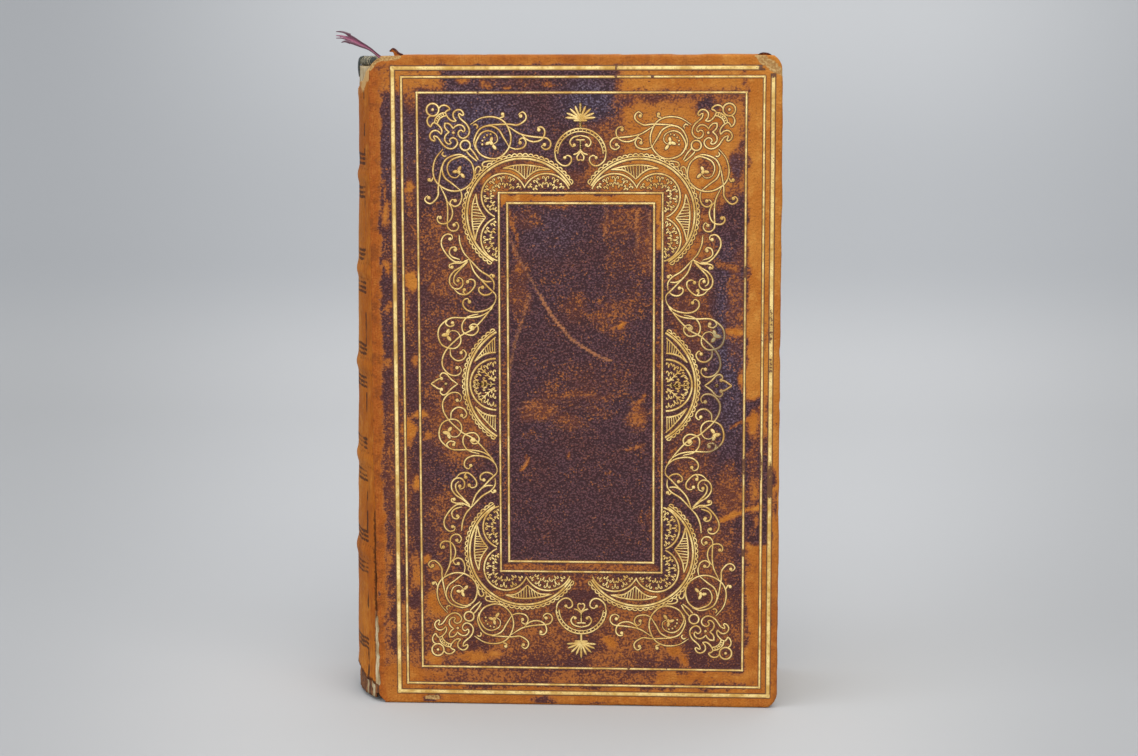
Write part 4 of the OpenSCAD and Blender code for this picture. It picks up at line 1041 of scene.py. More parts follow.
class Tooling:
    """Collects gold lines as thin domed strips on a cover's face."""

    def __init__(self):
        self.points, self.faces = [], []

    def count(self):
        return sum(len(p) for p in self.points)

    def line(self, pts, half_width, taper=TAPER):
        p = np.asarray(pts, float)
        d = np.gradient(p, axis=0)
        d /= np.maximum(np.linalg.norm(d, axis=1), 1e-9)[:, None]
        side = np.column_stack([-d[:, 1], d[:, 0]])
        t = np.linspace(0, 1, len(p))
        w = half_width * (1 - taper * (1 - np.minimum(1, np.minimum(t, 1 - t) * 6)))[:, None]
        self.faces += grid_faces(len(p), len(LINE_SECTION), self.count())
        cross = [np.column_stack([p + side * w * k, np.full(len(p), h)]) for k, h in LINE_SECTION]
        self.points.append(np.stack(cross, 1).reshape(-1, 3))

    def oval(self, x, up, rx, ru, turn=0.0):
        n, tilt, start = DOT_SIDES, math.radians(turn), self.count()
        c, s = math.cos(tilt), math.sin(tilt)
        rows = [(x, up, DOT_CROWN)]
        for share, h in DOT_RINGS:
            for k in range(n):
                b = 2 * math.pi * k / n
                px, pu = rx * share * math.cos(b), ru * share * math.sin(b)
                rows.append((x + px * c - pu * s, up + px * s + pu * c, h))
        self.points.append(np.asarray(rows))
        inner = [start + 1 + k for k in range(n)]
        for a, b in zip(inner, inner[1:] + inner[:1]):
            self.faces += [(start, a, b), (a, a + n, b + n, b)]

    def dot(self, x, up, r):
        self.oval(x, up, r, r)

    def mirrored(self, axis, middle):
        """Adds the mirror image of everything so far in a middle line."""
        p = np.vstack(self.points)
        q = p.copy()
        q[:, axis] = 2 * middle - q[:, axis]
        self.points = [p, q]
        self.faces += [tuple(v + len(p) for v in f) for f in self.faces]


class Bed(Tooling):
    """As Tooling, with each line wider by the same margin."""

    margin = 0.19

    def line(self, pts, half_width, taper=TAPER):
        super().line(pts, half_width + self.margin, taper * half_width / (half_width + self.margin))

    def oval(self, x, up, rx, ru, turn=0.0):
        super().oval(x, up, rx + self.margin, ru + self.margin, turn)


def across_diagonal(pts):
    """Mirror image in the fleuron's own axis."""
    d = np.array(DIAGONAL_ALONG) / np.linalg.norm(DIAGONAL_ALONG)
    rel = np.asarray(pts, float) - DIAGONAL_AT
    return np.array(DIAGONAL_AT) + 2 * np.outer(rel @ d, d) - rel


def scalloped_rim(draw, centre, r, heavy_r, start, end, pitch):
    """A row of small half rounds that stand on a fine arc, and a heavy arc inside it."""
    n = int(abs(math.radians(end - start)) * (r + 0.05) / pitch)
    for k in range(n):
        a = start + (end - start) * (k + 0.5) / n
        x, up = on_circle(*centre, r + 0.05, a)
        draw.line(arc(x, up, pitch * 0.46, a - 90, a + 90, 0.25), SCALLOP, 0.2)
    draw.line(arc(*centre, r, start, end), FINE, 0)
    draw.line(arc(*centre, heavy_r, start, end), HEAVY, 0)


def sprig(draw, x, up, turn, size):
    """A little forked stem with two curled ends and three dots."""
    a = math.radians(turn)
    stem, aside = np.array([math.cos(a), math.sin(a)]), np.array([-math.sin(a), math.cos(a)])

    def at(u, v):
        return np.array([x, up]) + size * (u * stem + v * aside)

    for k in (-1, 1):
        fork = [at(-0.7, 0.1 * k), at(0.0, 0.15 * k), at(0.55, 0.5 * k), at(0.5, 0.95 * k), at(0.1, 0.95 * k)]
        draw.line(curve(fork, 0.2), HATCH, 0.2)
        draw.dot(*at(0.12, 0.86 * k), 0.2)
    draw.dot(*at(-0.75, 0), 0.19)


def leafy_stem(draw, start, end, pairs, leaf):
    """A straight stem with short leaflets in pairs."""
    start, end = np.array(start, float), np.array(end, float)
    d = (end - start) / np.linalg.norm(end - start)
    side = np.array([-d[1], d[0]])
    draw.line(curve([start, end], 0.3), STEM, 0.3)
    for k in range(pairs):
        root = start + (end - start) * (k + 0.6) / pairs
        for way in (-1, 1):
            tip = root + leaf * (0.75 * d + 0.8 * way * side)
            draw.line(curve([root, (root + tip) / 2 + 0.12 * leaf * d, tip], 0.2), STEM, 0.5)


def part_way(line, t):
    """The point at a share of the way along a line."""
    places = np.linspace(0, 1, len(line))
    return [np.interp(t, places, line[:, i]) for i in (0, 1)]


def hatch(draw, starts, ends, count):
    """Fine lines from places along one curve to places along another."""
    for k in range(count):
        t = (k + 0.5) / count
        draw.line(curve([part_way(starts, t), part_way(ends, t)], 0.4), HATCH, 0.1)


def lunette(draw):
    """Scalloped band round the panel's corner, with two hatched fans and three lobes of sprigs."""
    scalloped_rim(draw, *LUNETTE)
    for fan in FANS:
        rim, falling, rising = (curve(pts) for pts in fan)
        for pts in (rim, falling, rising):
            draw.line(pts, FAN, 0.3)
        hatch(draw, rim[len(rim) // 5:len(rim) // 2], falling[len(falling) // 3:], 5)
        hatch(draw, rim[len(rim) // 2:-len(rim) // 5], rising[:-len(rising) // 3], 5)
    for centre, r, start, end, sprigs in LOBES:
        draw.line(arc(*centre, r, start, end), LOBE, 0.2)
        for turn, out, size in sprigs:
            sprig(draw, *on_circle(*centre, out * r, turn), turn, size)


def rosette(draw):
    """Upper half of the half rosette beside the panel."""
    scalloped_rim(draw, *ROSETTE)
    draw.line(arc(*ROSETTE_EYE, ROSETTE_EYE_R, 90, 180), EYE_RING, 0)
    upper, lower = (curve(pts) for pts in ROSETTE_FAN)
    draw.line(upper, 0.2, 0.3)
    draw.line(lower, 0.24, 0.3)
    hatch(draw, upper[len(upper) // 4:], lower[len(lower) // 3:], 7)
    for start, end, pairs, leaf in ROSETTE_STEMS:
        leafy_stem(draw, np.add(ROSETTE_EYE, start), np.add(ROSETTE_EYE, end), pairs, leaf)
    for turn, out, size in ROSETTE_SPRIGS:
        sprig(draw, *on_circle(*ROSETTE_EYE, out, turn), turn, size)


def crest(draw):
    """Left half of the crest at the middle of the head."""
    for pts in CREST:
        draw.line(curve(pts), HAIR)
    for x, up in CREST_BLOBS:
        draw.dot(x, up, BLOB * 0.9)
    draw.line(arc(MID_X, ARCH_UP, ARCH_R, 90, 178), HAIR, 0)
    draw.line(arc(MID_X, ARCH_UP, ARCH_INNER_R, 90, 178), STEM, 0)
    for x, up in on_circle(MID_X, ARCH_UP, ARCH_BEAD_R, ARCH_BEADS):
        draw.dot(x, up, 0.2)
    for low, high, half_width, taper in CREST_STROKES:
        draw.line(curve([(MID_X, low), (MID_X, high)]), half_width, taper)
    for x, up in PALMETTE_TIPS:
        bend = (MID_X + x) / 2, (PALMETTE_BEND_UP + up) / 2
        draw.line(curve([(MID_X, PALMETTE_UP), bend, (x, up)]), HEAVY, 0.85)
    draw.line(curve([(MID_X - BAR_HALF, BAR_UP), (MID_X, BAR_UP)]), 0.25, 0.4)


def scroll_quarter(draw):
    """Everything that repeats in each quarter."""
    for lines, step, taper, dots, r in (
        (FLEURON, 0.25, 0.2, FLEURON_BEADS, BLOB * 0.45), (VOLUTE, 0.35, TAPER, VOLUTE_BLOBS, BLOB),
    ):
        for pts in lines:
            draw.line(curve(pts, step), HAIR, taper)
            draw.line(across_diagonal(curve(pts, step)), HAIR, taper)
        for x, up in [*dots, *across_diagonal(dots)]:
            draw.dot(x, up, r)
    turned = 2 * math.degrees(math.atan2(DIAGONAL_ALONG[1], DIAGONAL_ALONG[0]))
    for x, up, rx, ru, turn in VOLUTE_LEAF:
        draw.oval(x, up, rx, ru, turn)
        draw.oval(*across_diagonal([(x, up)])[0], rx, ru, turned - turn)
    for pts in SIDE:
        draw.line(curve(pts), HAIR)
    for x, up in SIDE_BLOBS:
        draw.dot(x, up, BLOB)
    for row in SIDE_LEAF:
        draw.oval(*row)
    for x, up, r in RINGS:
        draw.line(arc(x, up, r, 0, 360), HAIR * 1.1, 0)
    for x, up, r in BEADS:
        draw.dot(x, up, r)
    lunette(draw)
    rosette(draw)
    crest(draw)


def rules(draw):
    """The gold rules, each as four lines that meet at the corners."""
    for cx, cu, hw, hh, half in RULES:
        corners = np.array([(-hw, -hh), (hw, -hh), (hw, hh), (-hw, hh), (-hw, -hh)]) + (cx, cu)
        for a, b in zip(corners, corners[1:]):
            reach = np.sign(b - a) * half
            draw.line(curve([a - reach, b + reach], 0.7), half, 0)


def tool(draw, scrolls):
    """Draws a cover's tooling: the rules, and the scrolls where it has them."""
    if scrolls:
        scroll_quarter(draw)
        draw.mirrored(0, MID_X)
        draw.mirrored(1, MID_UP)
    rules(draw)
    return np.vstack(draw.points), draw.faces


def gold_lost(x, up):
    """How much gold is gone at places on the front cover."""
    return np.maximum(0.06 + 0.14 * front_wear(x, up), spots(x, up, LOST_SPOTS, 0.6, 1.2))


def tooled_pair(end, side, body):
    """The gold of one cover, and under it the darker bed of tool burn and painted groove shade: the same
    lines, a little wider and flat.
    """
    front = side < 0
    for draw in (Tooling(), Bed()):
        points, faces = tool(draw, front)
        x, up, h = points.T
        face = HALF_T - ripple(x, up, *COVER_WAVES)
        lost = gold_lost(x, up) if front else 0.25 + 0.35 * value_noise(x, up, 9, 61)
        if front:
            faces = [f for f in faces if min(lost[v] for v in f) <= GOLD_GONE]
        if isinstance(draw, Bed):
            points = np.column_stack([x + RULE_X, side * (face + BED_LIFT), up + RULE_Z])
            make(end + "_tooled_bed_burn_and_shade", points, faces, body, BED, outward=False)
        else:
            tarnish = spots(x, up, TARNISH_SPOTS, 0.3, 1.3) if front else 0.3 * value_noise(x, up, 12, 62)
            values = {"lost": lost, "tarnish": tarnish, "crest": np.minimum(h / LINE_CROWN, 1)}
            points = np.column_stack([x + RULE_X, side * (face + GOLD_LIFT + h), up + RULE_Z])
            make(end + "_gold", points, faces, body, GOLD, [end + "_gilt"], values, outward=False)


tooled_pair("front", -1, "front_cover")
tooled_pair("back", 1, "back_cover")


# Spine

# Leather lost at head and tail: place round the back (-1 is the front joint), share of the loss.
HEAD_TEAR = [
    (-1, 0.34), (-0.93, 0.42), (-0.87, 0.58), (-0.76, 0.7), (-0.5, 0.84), (-0.3, 1), (-0.1, 0.9),
    (0.1, 0.96), (0.34, 0.8), (0.52, 0.86), (0.7, 0.66), (0.88, 0.72), (1, 0.56),
]
TAIL_TEAR = [
    (-1, 0.8), (-0.85, 0.9), (-0.66, 1), (-0.5, 1.25), (-0.28, 1.35), (-0.12, 1.1), (0.1, 0.8), (0.3, 0.62),
    (0.55, 0.7), (0.75, 0.5), (1, 0.58),
]
HEAD_LOSS, TAIL_LOSS = 10.0, 6.0
# Width of the split in the front joint, by height.
SPLIT = [
    (0, 0.5), (8, 0.55), (14, 0.6), (20, 0.5), (26, 0.46), (32, 0.42), (40, 0.4), (50, 0.34), (58, 0),
    (200, 0),
]
# The back has sagged: how far its middle stands out past its round form, by height.
SAG = [(0, 1.3), (28, 1.05), (88, 0.12), (118, -0.35), (135, -0.6), (148, -1.05), (180, -1.1)]
# Gap between the spine's leather and a cover.
JOINT_GAP = 0.52
# Thickness of the spine's leather, and what is left of it where the back has sunk.
SKIN_T, SKIN_LEAST_T = 0.75, 0.14
# Height of the leather over a band, and half the band's width.
BAND_RISE, BAND_HALF_W = 0.5, 1.75
# Tool lines: heights beside a band, and heights over the tail.
BAND_MARKS, TAIL_MARKS = (-5.8, -4.6, -3.3, 3.3, 4.6, 5.8), (14.6, 15.8, 17.0)


def sag(z, share):
    """Outward shift of the spine's layers."""
    return along(z, SAG) * (1 - np.asarray(share, float) ** 2)


def skin_thickness(lean):
    """Thickness of the spine's leather, thinner where the back has sunk in."""
    return np.maximum(SKIN_T - np.maximum(-lean, 0), SKIN_LEAST_T)


def band_rise(z):
    """Height of the leather over the raised bands."""
    return BAND_RISE * np.maximum.reduce([np.exp(-(np.abs(z - b) / BAND_HALF_W) ** 2.6) for b in BANDS_Z])


def spine_marks(z, share):
    """Dark tool marks: lines beside each band, and broken upright lines that frame the panels."""
    wobble = ripple(share * 30, z, (0.4, 6, 71))
    levels = [b + mark for b in BANDS_Z for mark in BAND_MARKS] + list(TAIL_MARKS)
    ink = np.maximum.reduce([1 - fade(np.abs(z - level + wobble), 0.25, 0.6) for level in levels])
    ink = ink * (1 - fade(np.abs(share), 0.80, 0.86))
    between = np.prod([fade(np.abs(z - b), 5.5, 6.5) for b in BANDS_Z], axis=0)
    dash = fade(value_noise(z, 0 * z + 0.3, 3.4, 72), 0.3, 0.5)
    upright = 1 - fade(np.abs(np.abs(share) - 0.8) * HALF_ARC, 0.3, 0.65)
    ink = np.maximum(ink, between * dash * upright)
    return ink * np.clip(0.72 + 0.9 * (value_noise(share * 20, z, 4, 73) - 0.4), 0, 1)


def spine_skin():
    """Leather of the rounded back over its bands, ragged at both ends."""
    rows, columns = 400, 64
    t = np.linspace(0, 1, rows)[:, None]
    share = np.linspace(-1, 1, columns)[None, :]
    place, out = share * HALF_ARC, np.abs(share)
    fine = ripple(place, 0 * share, (0.9, 1.1, 51), (0.5, 0.45, 52))
    top = COVER_H - HEAD_LOSS * along(share, HEAD_TEAR) + fine
    bottom = TAIL_LOSS * along(share, TAIL_TEAR) + 0.8 * fine
    z = bottom + (top - bottom) * t
    split = along(z, SPLIT) * (0.55 + 0.9 * value_noise(z, 0 * z, 2.2, 53))
    angle = (SPINE_SWEEP - JOINT_GAP / SPINE_R) * share + split / SPINE_R * np.clip(-share, 0, 1) ** 6
    dents = ripple(angle * SPINE_R, z, (0.16, 5, 54), (0.06, 1.6, 55))
    head_curl = 0.12 * fade(t, 0.985, 1.0) * value_noise(place, 0 * share, 2.0, 56)
    tail_curl = 0.3 * (1 - fade(t, 0.0, 0.02)) * value_noise(place, 0 * share, 2.4, 57)
    lean = sag(z, share)
    radius = SPINE_R + band_rise(z) * (1 - 0.75 * out ** 14) + dents * (1 - out ** 8)
    radius = radius + head_curl + tail_curl - 0.3 * out ** 40 + lean
    inner = radius - skin_thickness(lean) + 0.1 * out ** 20
    points = np.vstack([on_back(r, angle, z) for r in (radius, inner)])

    remains = fade(z, 112, 138) * (1 - fade(np.abs(share + 0.1), 0.2, 0.55))
    dark = 0.16 + 0.35 * (value_noise(place, z, 9, 58) - 0.4) + 0.4 * remains * value_noise(place, z, 12, 59)
    # Darker in a ring at the foot of each band.
    for b in BANDS_Z:
        dark = np.maximum(dark, 0.45 * (1 - fade(np.abs(np.abs(z - b) - 2.0), 0.3, 1.1)))
    tail_edge = 1 - fade(t, 0.0, 0.012)
    # The torn tail edge is darkened; the edge at the open split is darkened as painted shade, standing in for
    # the shade inside the crack.
    split_edge = (1 - fade(share + 1, 0.0, 0.06)) * fade(split, 0.05, 0.2)
    values = {
        "ink": spine_marks(z, share), "dark": np.maximum(dark, 0.9 * np.maximum(tail_edge, split_edge)),
        "torn": fade(t, 0.972, 0.99) * (0.5 + 0.6 * (1 - fade(share, -0.9, -0.6))),
        "near_joint": fade(out, 0.45, 0.95),
    }
    values = {key: np.tile(np.broadcast_to(value, z.shape).ravel(), 2) for key, value in values.items()}
    return make("spine_leather_skin", points, sheet_faces(rows, columns), "book_block",
                SPINE, ["spine_leather"], values)


spine_skin()


LINING_R, LINING_T = 36.31, 0.4
LINING_Z0, LINING_REACH = 1.0, 0.93
# The lining sinks no further than this where the back has sunk.
LINING_SINK = -0.42
# Cloth that shows in the open joint: places as (x, y) from the lining to the board's edge, and how brown.
JOINT_CLOTH = [(-2.9, -20.7), (-2, -21), (-1.2, -21.1), (-0.3, -20.95)]
CLOTH_BROWN = (0.6, 0.1, 0.08, 0.5)
JOINT_CLOTH_Z = (2.5, 64.0)


def lining_skin():
    """Paper and cloth on the back of the pages, crumpled where bare, and the cloth in the open joint."""
    rows, columns = 180, 70
    z = np.linspace(LINING_Z0, BLOCK_Z1, rows)[:, None]
    share = np.linspace(-LINING_REACH, LINING_REACH, columns)[None, :]
    place = share * HALF_ARC
    tail, head = 1 - fade(z, 5.0, 9.0), fade(z, 169, 173)
    folds = value_noise(place, z, 1.4, 91) + 0.6 * value_noise(place, z * 0.4, 0.6, 92) - 0.6
    lift = tail * (0.35 + 0.5 * folds) + head * 0.25 * folds + np.maximum(sag(z, share), LINING_SINK)
    outer = np.maximum(LINING_R + lift, BLOCK_R + 0.05)
    inner = np.maximum(outer - LINING_T, BLOCK_R + 0.01)
    sheets = [on_back(r, SPINE_SWEEP * share, z) for r in (outer, inner)]
    pale = np.maximum(1 - fade(np.abs(share + 0.86), 0.02, 0.05), 1 - fade(np.abs(share + 0.7), 0.01, 0.03))
    brown = tail * (0.95 - 0.9 * pale) + head * 0.42 + (1 - tail) * (1 - head) * 0.3

    level = np.linspace(*JOINT_CLOTH_Z, 90)[:, None]
    x, y = np.array(JOINT_CLOTH).T
    creases = ripple(level, np.arange(len(x)) * 3.0, (0.12, 2.0, 93))
    strip = stacked(x, y - creases + 1.3 * fade(level, 25.5, 28), level)
    # Painted shade, in part: the cloth is pale only in its middle from about 6 to 24 mm up, and dark brown
    # above and below, which stands in for the shade deep in the split.
    cloth = np.array(CLOTH_BROWN) + fade(np.abs(level - 15.0), 9.0, 11.5)
    faces = sheet_faces(rows, columns) + grid_faces(len(level), len(x), 2 * rows * columns)
    values = {"brown": np.concatenate([np.tile(brown.ravel(), 2), cloth.ravel()])}
    return make("lining_layers", np.vstack([*sheets, strip]), faces, "book_block", LINING,
                ["spine_lining"], values)


lining_skin()

# Section of a cord on the lining: place up and down, share of its height.
CORD_SECTION = [(-1.5, 0), (-1.1, 0.45), (-0.6, 0.8), (0, 1), (0.6, 0.8), (1.1, 0.45), (1.5, 0)]
CORD_REACH = 0.94


def cords():
    """Cords under the raised bands, between the lining and the leather."""
    rows, columns = 40, len(CORD_SECTION)
    points, faces = [], []
    share = np.linspace(-CORD_REACH, CORD_REACH, rows)
    for number, level in enumerate(BANDS_Z):
        lean = sag(level, share)
        foot = LINING_R + np.maximum(lean, LINING_SINK) + 0.02
        crown = SPINE_R + 0.36 + lean - skin_thickness(lean)
        for place, rise in CORD_SECTION:
            points.append(on_back(foot + (crown - foot) * rise, SPINE_SWEEP * share, level + place))
        first = number * rows * columns
        last = first + (columns - 1) * rows
        faces += grid_faces(columns, rows, first)
        faces += [(first + i, first + i + 1, last + i + 1, last + i) for i in range(rows - 1)]
        faces += [tuple(first + k * rows + end for k in range(columns)) for end in (0, rows - 1)]
    return make("sewn_cords", np.vstack(points), faces, "book_block", CORD, ["band_cords"])


cords()

# An end band: how far its middle stands in from the back and off the pages, its radius, and the
# pitch of its winding and of its stripes.
END_BAND_OFF, END_BAND_R = 1.35, 1.18
WINDING_PITCH, STRIPE_PITCH = 0.42, 1.0
# Loose silk at the head: place on the band in degrees, drop, lean along the band in degrees.
LOOSE_THREADS = [
    (-16, 3.2, 1.5), (-13, 4, -1), (-11, 2.6, 0.8), (-8.5, 3.8, 1.2), (-6, 4.4, -0.6), (-4, 3.4, 0.9),
    (-1.5, 4.2, -1.2), (1, 3, 0.4), (4, 4.1, 0.8), (8, 2.8, -0.6), (13, 3.6, 0.5), (19, 2.4, -0.8),
]
THREAD_R = 0.17


def thread_tube(p, radius, start, sides=5):
    """Points and faces of a thin round thread."""
    d = np.gradient(p, axis=0)
    d /= np.linalg.norm(d, axis=1)[:, None]
    one = np.cross(d, (0.2, 0.9, 0.4))
    one /= np.linalg.norm(one, axis=1)[:, None]
    two = np.cross(d, one)
    a = np.linspace(0, 2 * math.pi, sides, endpoint=False)[None, :, None]
    ring = p[:, None, :] + radius * (np.cos(a) * one[:, None, :] + np.sin(a) * two[:, None, :])
    return ring.reshape(-1, 3), grid_faces(len(p), sides, start, True)


def end_band(name, z_middle, node, loose=()):
    """Silk wound over a core, with stripes, at one end of the pages."""
    rows, columns = 520, 12
    half = math.asin(BLOCK_HALF_T / (BLOCK_R - 0.05))
    t = np.linspace(-1, 1, rows)[:, None]
    a = np.linspace(0, 2 * math.pi, columns, endpoint=False)[None, :]
    length = np.repeat(t * half * BLOCK_R, columns, 1)
    turn = 0.5 + 0.5 * np.sin(length / WINDING_PITCH * 2 * math.pi)
    r = END_BAND_R + 0.1 * turn + ripple(t * HALF_ARC, 0 * t, (0.12, 1.2, 81))
    middle = BLOCK_R - END_BAND_OFF
    points = on_back(middle + r * np.cos(a), t * half, z_middle + r * np.sin(a))
    faces = grid_faces(rows, columns, 0, True)
    faces += [tuple(range(columns))[::-1], tuple(range((rows - 1) * columns, rows * columns))]
    stripes, turns = [(np.sin(length / STRIPE_PITCH * 2 * math.pi) > 0.35).ravel()], [turn.ravel()]
    for place, drop, lean in loose:
        angle = np.radians(place + lean * np.array([0, 0.2, 0.6, 1.0]))
        level = z_middle + np.array([1.25, 0.7, -0.45 * drop, -drop])
        thread = curve(on_back(middle + np.array([0.4, 1.35, 1.7, 1.45]), angle, level), 0.3)
        tube, more = thread_tube(thread, THREAD_R, len(points))
        points, faces = np.vstack([points, tube]), faces + more
        stripes.append(np.zeros(len(tube)))
        turns.append(np.full(len(tube), 0.5))
    values = {"stripe": np.concatenate(stripes), "turn": np.concatenate(turns)}
    return make(name, points, faces, "book_block", SILK, [node], values)


end_band("head_band_silk", BLOCK_Z1 + END_BAND_OFF, "head_band", LOOSE_THREADS)
end_band("tail_band_silk", BLOCK_Z0 - END_BAND_OFF, "tail_band")


# Ribbon

# Route of the marker: x, y, z, width, roll in degrees.
RIBBON_ROUTE = [
    (5, -7.2, 177.3, 3, 6), (2.4, -7.2, 177.5, 2.6, 16), (0.2, -7.1, 178.2, 1.6, 50),
    (-1.7, -7, 179.5, 1.2, 62), (-3.3, -6.9, 180.9, 1, 66), (-5, -6.8, 182, 1.1, 68),
    (-6.7, -6.6, 182.8, 1.6, 70), (-8.5, -6.3, 183.7, 2.3, 66), (-10.2, -6, 184.4, 2.8, 62),
]
# Frayed tails: place across the ribbon, width, and the tip's x, y, z.
RIBBON_TAILS = [
    (-0.42, 0.9, (-12.1, -6.4, 183.4)), (-0.16, 0.6, (-13.6, -6.2, 184.6)), (0.02, 0.8, (-13.6, -6, 185.3)),
    (0.16, 0.4, (-12.6, -5.8, 184.9)), (0.3, 0.7, (-12.2, -5.6, 186.2)), (0.44, 0.8, (-13.7, -5.4, 186.4)),
]
# Section of a tail: place across, lift.
TAIL_SECTION = [(-0.5, 0.07), (0.5, 0.07), (0.5, -0.07), (-0.5, -0.07)]
RIBBON_STEP, TAIL_STEP = 0.3, 0.25


def ribbon():
    """Stub of the marker ribbon, twisted and frayed."""
    table = np.array(RIBBON_ROUTE)
    route = curve(table[:, :3], RIBBON_STEP)
    count = len(route)
    t = np.linspace(0, 1, count)[:, None]
    at = np.linspace(0, 1, len(table))
    width, roll = np.interp(t, at, table[:, 3]), np.radians(np.interp(t, at, table[:, 4]))
    number = np.arange(count)[:, None]
    across = np.linspace(-0.5, 0.5, 11)
    points = []
    for lift in (0.1, -0.1):
        cup = lift + 0.9 * across ** 2 + 0.16 * np.sin(across * 9 + 2 + 0.05 * number) * t
        y = route[:, 1:2] + across * width * np.cos(roll) - cup * np.sin(roll)
        z = route[:, 2:] + across * width * np.sin(roll) + cup * np.cos(roll)
        points.append(stacked(route[:, :1], y, z))
    faces = sheet_faces(count, len(across))
    places = [np.tile(across, 2 * count)]
    lengths = [np.tile(np.repeat(number * RIBBON_STEP, len(across)), 2)]

    end = points[0][-len(across):]
    s, lift = np.array(TAIL_SECTION).T
    for place, wide, tip in RIBBON_TAILS:
        root = np.array([np.interp(place, across, end[:, i]) for i in range(3)])
        line = curve([root + (0.6, 0, -0.2), root, (root + tip) / 2 + (0, 0.1, 0.25), tip], TAIL_STEP)
        number = np.arange(len(line))[:, None]
        w = wide * (1 - 0.75 * (number / (len(line) - 1)) ** 1.5)
        faces += grid_faces(len(line), len(s), sum(len(p) for p in points), True)
        y, z = line[:, 1:2] + s * w * 0.5 - lift * 0.8, line[:, 2:] + s * w * 0.85 + lift * 0.5
        points.append(stacked(line[:, :1], y, z))
        places.append(np.tile(place * 1.15 + s * 0.2, len(line)))
        lengths.append(np.repeat(number * TAIL_STEP, len(s)))
    values = {"across": np.concatenate(places), "lengthways": np.concatenate(lengths)}
    return make("ribbon_silk", np.vstack(points), faces, "book_block", RIBBON,
                ["ribbon_marker"], values)


ribbon()


# Torn scraps at the head of the front cover

# Each scrap: its upper edge and its lower edge, from left to right, as (x, z).
SCRAPS = [
    ([(3.2, 181.1), (4.1, 181.9), (5, 181.6), (5.9, 180.7), (6.9, 180.3)], [(3.3, 180.8), (4.2, 180.7),
     (4.7, 179.4), (5.8, 179.2), (6.8, 179.2)]),
    ([(102.6, 180), (103.6, 180.5), (105.2, 180.4), (106.2, 179.9)], [(102.6, 179.4), (103.6, 179.3),
     (105.2, 179.2), (106.2, 179.2)]),
]
SCRAP_Y, SCRAP_T = -20.9, 0.35


def scraps():
    """Bits of leather that stand up from the worn head edge."""
    rows, columns = 5, 18
    t, row = np.linspace(0, 1, columns), np.linspace(0, 1, rows)[:, None]
    points, faces, wear = [], [], []
    for number, edges in enumerate(SCRAPS):
        (top_x, top_z), (low_x, low_z) = (part_way(curve(edge, 0.3), t) for edge in edges)
        x, z = low_x + (top_x - low_x) * row, low_z + (top_z - low_z) * row
        y = SCRAP_Y - 0.5 * row ** 2 + ripple(x, z, (0.5, 0.8, 95)) * row
        points += [stacked(x, y, z), stacked(x, y + SCRAP_T, z)]
        faces += sheet_faces(rows, columns, 2 * rows * columns * number)
        wear += [(0.95 - 0.75 * (row > 0.7) - 0.7 * fade(t, 0.75, 0.95)).ravel()] * 2
    wear = np.clip(np.concatenate(wear), 0, 1)
    none, full = np.zeros(len(wear)), np.ones(len(wear))
    values = {"wear": wear, "painted_sheen": none, "bare": none, "deep": full, "scar": none, "warm": full}
    return make("head_scraps", np.vstack(points), faces, "front_cover", LEATHER, (), values)


scraps()


# CAD pieces that keep their form

for node, material in (
    ("text_block", PAGES), ("front_board", BOARD), ("back_board", BOARD),
    ("front_pastedown", ENDPAPER), ("back_pastedown", ENDPAPER),
):
    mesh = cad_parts[node].data
    mesh.materials.clear()
    mesh.materials.append(material)


# Stage, lights and camera, in metres

# Painted light on the sweep: the floor is brighter than the wall's foot, the floor and the wall darken to the
# sides, and the wall lightens towards its top.
FLOOR_NEAR, FLOOR_FAR, FLOOR_SIDE = (0.465, 0.465, 0.463), (0.455, 0.457, 0.462), (0.345, 0.348, 0.353)
WALL_LOW, WALL_HIGH, WALL_SIDE = (0.345, 0.352, 0.364), (0.48, 0.486, 0.492), (0.285, 0.292, 0.303)
CLOUD_TONE = (0.3, 0.305, 0.31)
SWEEP_HALF_W, SWEEP_FRONT, SWEEP_TOP = 2.5, -1.6, 2.4
# Where the floor bends up, and the bend's radius.
BEND_Y, BEND_R = 0.5, 0.5
# Lights: name, place, what it points at, width and height, watts, colour.
LIGHTS = [
    ("key", (0.45, -1.35, 1.3), (0, 0, 0.08), (1.8, 1.8), 27, (1.0, 0.98, 0.95)),
    ("fill", (-1.3, -1.1, 0.9), (0, 0, 0.1), (1.6, 1.6), 16, (0.96, 0.98, 1.0)),
    ("overhead", (0.0, 0.1, 1.7), (0, 0.25, 0), (2.0, 1.6), 15, (0.98, 0.99, 1.0)),
    ("behind", (0.3, 0.85, 0.85), (0, 0, 0.1), (0.9, 0.7), 2, (1.0, 0.99, 0.97)),
]
ROOM_COLOUR, ROOM_STRENGTH = (0.80, 0.84, 0.90, 1), 0.55
# The photo's camera: place from the middle of the front cover's face in millimetres, turn in degrees.
CAMERA_FROM_RULE = (36.66, -649.6, 93.09)
CAMERA_TURN = (82.0557, 0.1301, 3.5363)
LENS, SENSOR_W = 75.923, 36.0


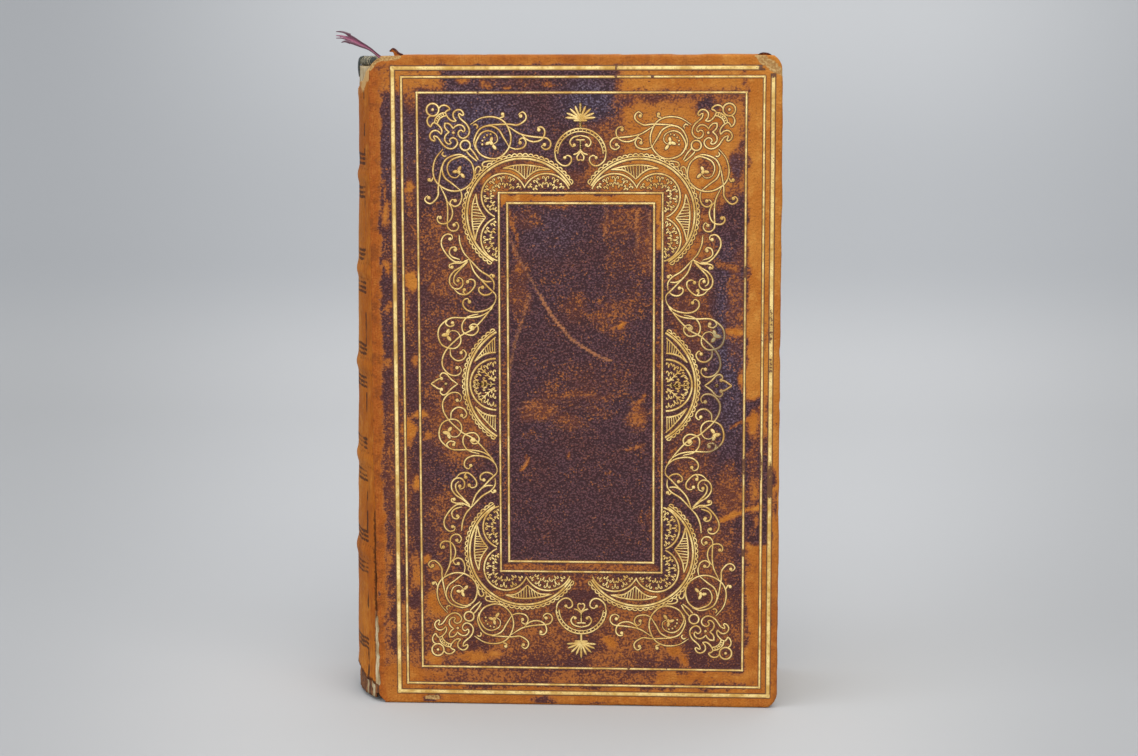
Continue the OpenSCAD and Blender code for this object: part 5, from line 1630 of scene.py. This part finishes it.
def stage():
    """A pale seamless sweep behind and under the book, with light and shade painted into it."""
    s = Shader("sweep")
    height, depth = s.axis("Z"), s.axis("Y")
    away = s.math("MAXIMUM", s.plus(depth, 0.65), 0.35)
    # Painted light and shade: the paper darkens to the sides, the floor is brighter than the wall's foot, and
    # the wall lightens towards its top.
    aside = s.step(s.math("DIVIDE", s.math("ABSOLUTE", s.axis("X")), away), 0.1, 0.27)
    floor = s.mix(aside, s.mix(s.step(depth, -0.04, 0.2), FLOOR_NEAR, FLOOR_FAR), FLOOR_SIDE)
    wall = s.mix(aside, s.mix(s.step(height, 0.08, 0.22, 0, 0.6), WALL_LOW, WALL_HIGH), WALL_SIDE)
    paper = s.mix(s.step(height, 0.0, 0.06), floor, wall)
    s.done(s.mix(s.times(s.noise(3, 2, 0.5), 0.12), paper, CLOUD_TONE), 0.85)
    bend = np.linspace(0, math.pi / 2, 14)[1:]
    profile = [(SWEEP_FRONT, 0.0), (BEND_Y, 0.0)]
    profile += [(BEND_Y + BEND_R * math.sin(a), BEND_R - BEND_R * math.cos(a)) for a in bend]
    profile += [(BEND_Y + BEND_R, SWEEP_TOP)]
    points = [(x, y, z) for y, z in profile for x in (-SWEEP_HALF_W, SWEEP_HALF_W)]
    mesh = bpy.data.meshes.new("sweep")
    mesh.from_pydata(points, [], grid_faces(len(profile), 2))
    mesh.polygons.foreach_set("use_smooth", [True] * len(mesh.polygons))
    mesh.materials.append(s.material)
    obj = bpy.data.objects.new("sweep", mesh)
    bpy.context.scene.collection.objects.link(obj)


def area_light(name, place, target, size, power, colour):
    """A rectangular light that points at a target."""
    data = bpy.data.lights.new(name, "AREA")
    data.shape = "RECTANGLE"
    data.size, data.size_y = size
    data.energy, data.color = power, colour
    obj = bpy.data.objects.new(name, data)
    obj.location = place
    obj.rotation_mode = "QUATERNION"
    obj.rotation_quaternion = (Vector(target) - Vector(place)).to_track_quat("-Z", "Y")
    bpy.context.scene.collection.objects.link(obj)


stage()
for light in LIGHTS:
    area_light(*light)
world = bpy.data.worlds.new("room")
world.use_nodes = True
world.node_tree.nodes["Background"].inputs["Color"].default_value = ROOM_COLOUR
world.node_tree.nodes["Background"].inputs["Strength"].default_value = ROOM_STRENGTH
bpy.context.scene.world = world

camera = bpy.data.cameras.new("camera")
camera.lens, camera.sensor_width = LENS, SENSOR_W
eye = bpy.data.objects.new("camera", camera)
eye.location = (np.array([RULE_X + SHIFT_X, -HALF_T, RULE_Z]) + CAMERA_FROM_RULE) * MM
eye.rotation_euler = np.radians(CAMERA_TURN)
bpy.context.scene.collection.objects.link(eye)
bpy.context.scene.camera = eye
bpy.context.scene.view_settings.view_transform = "Standard"
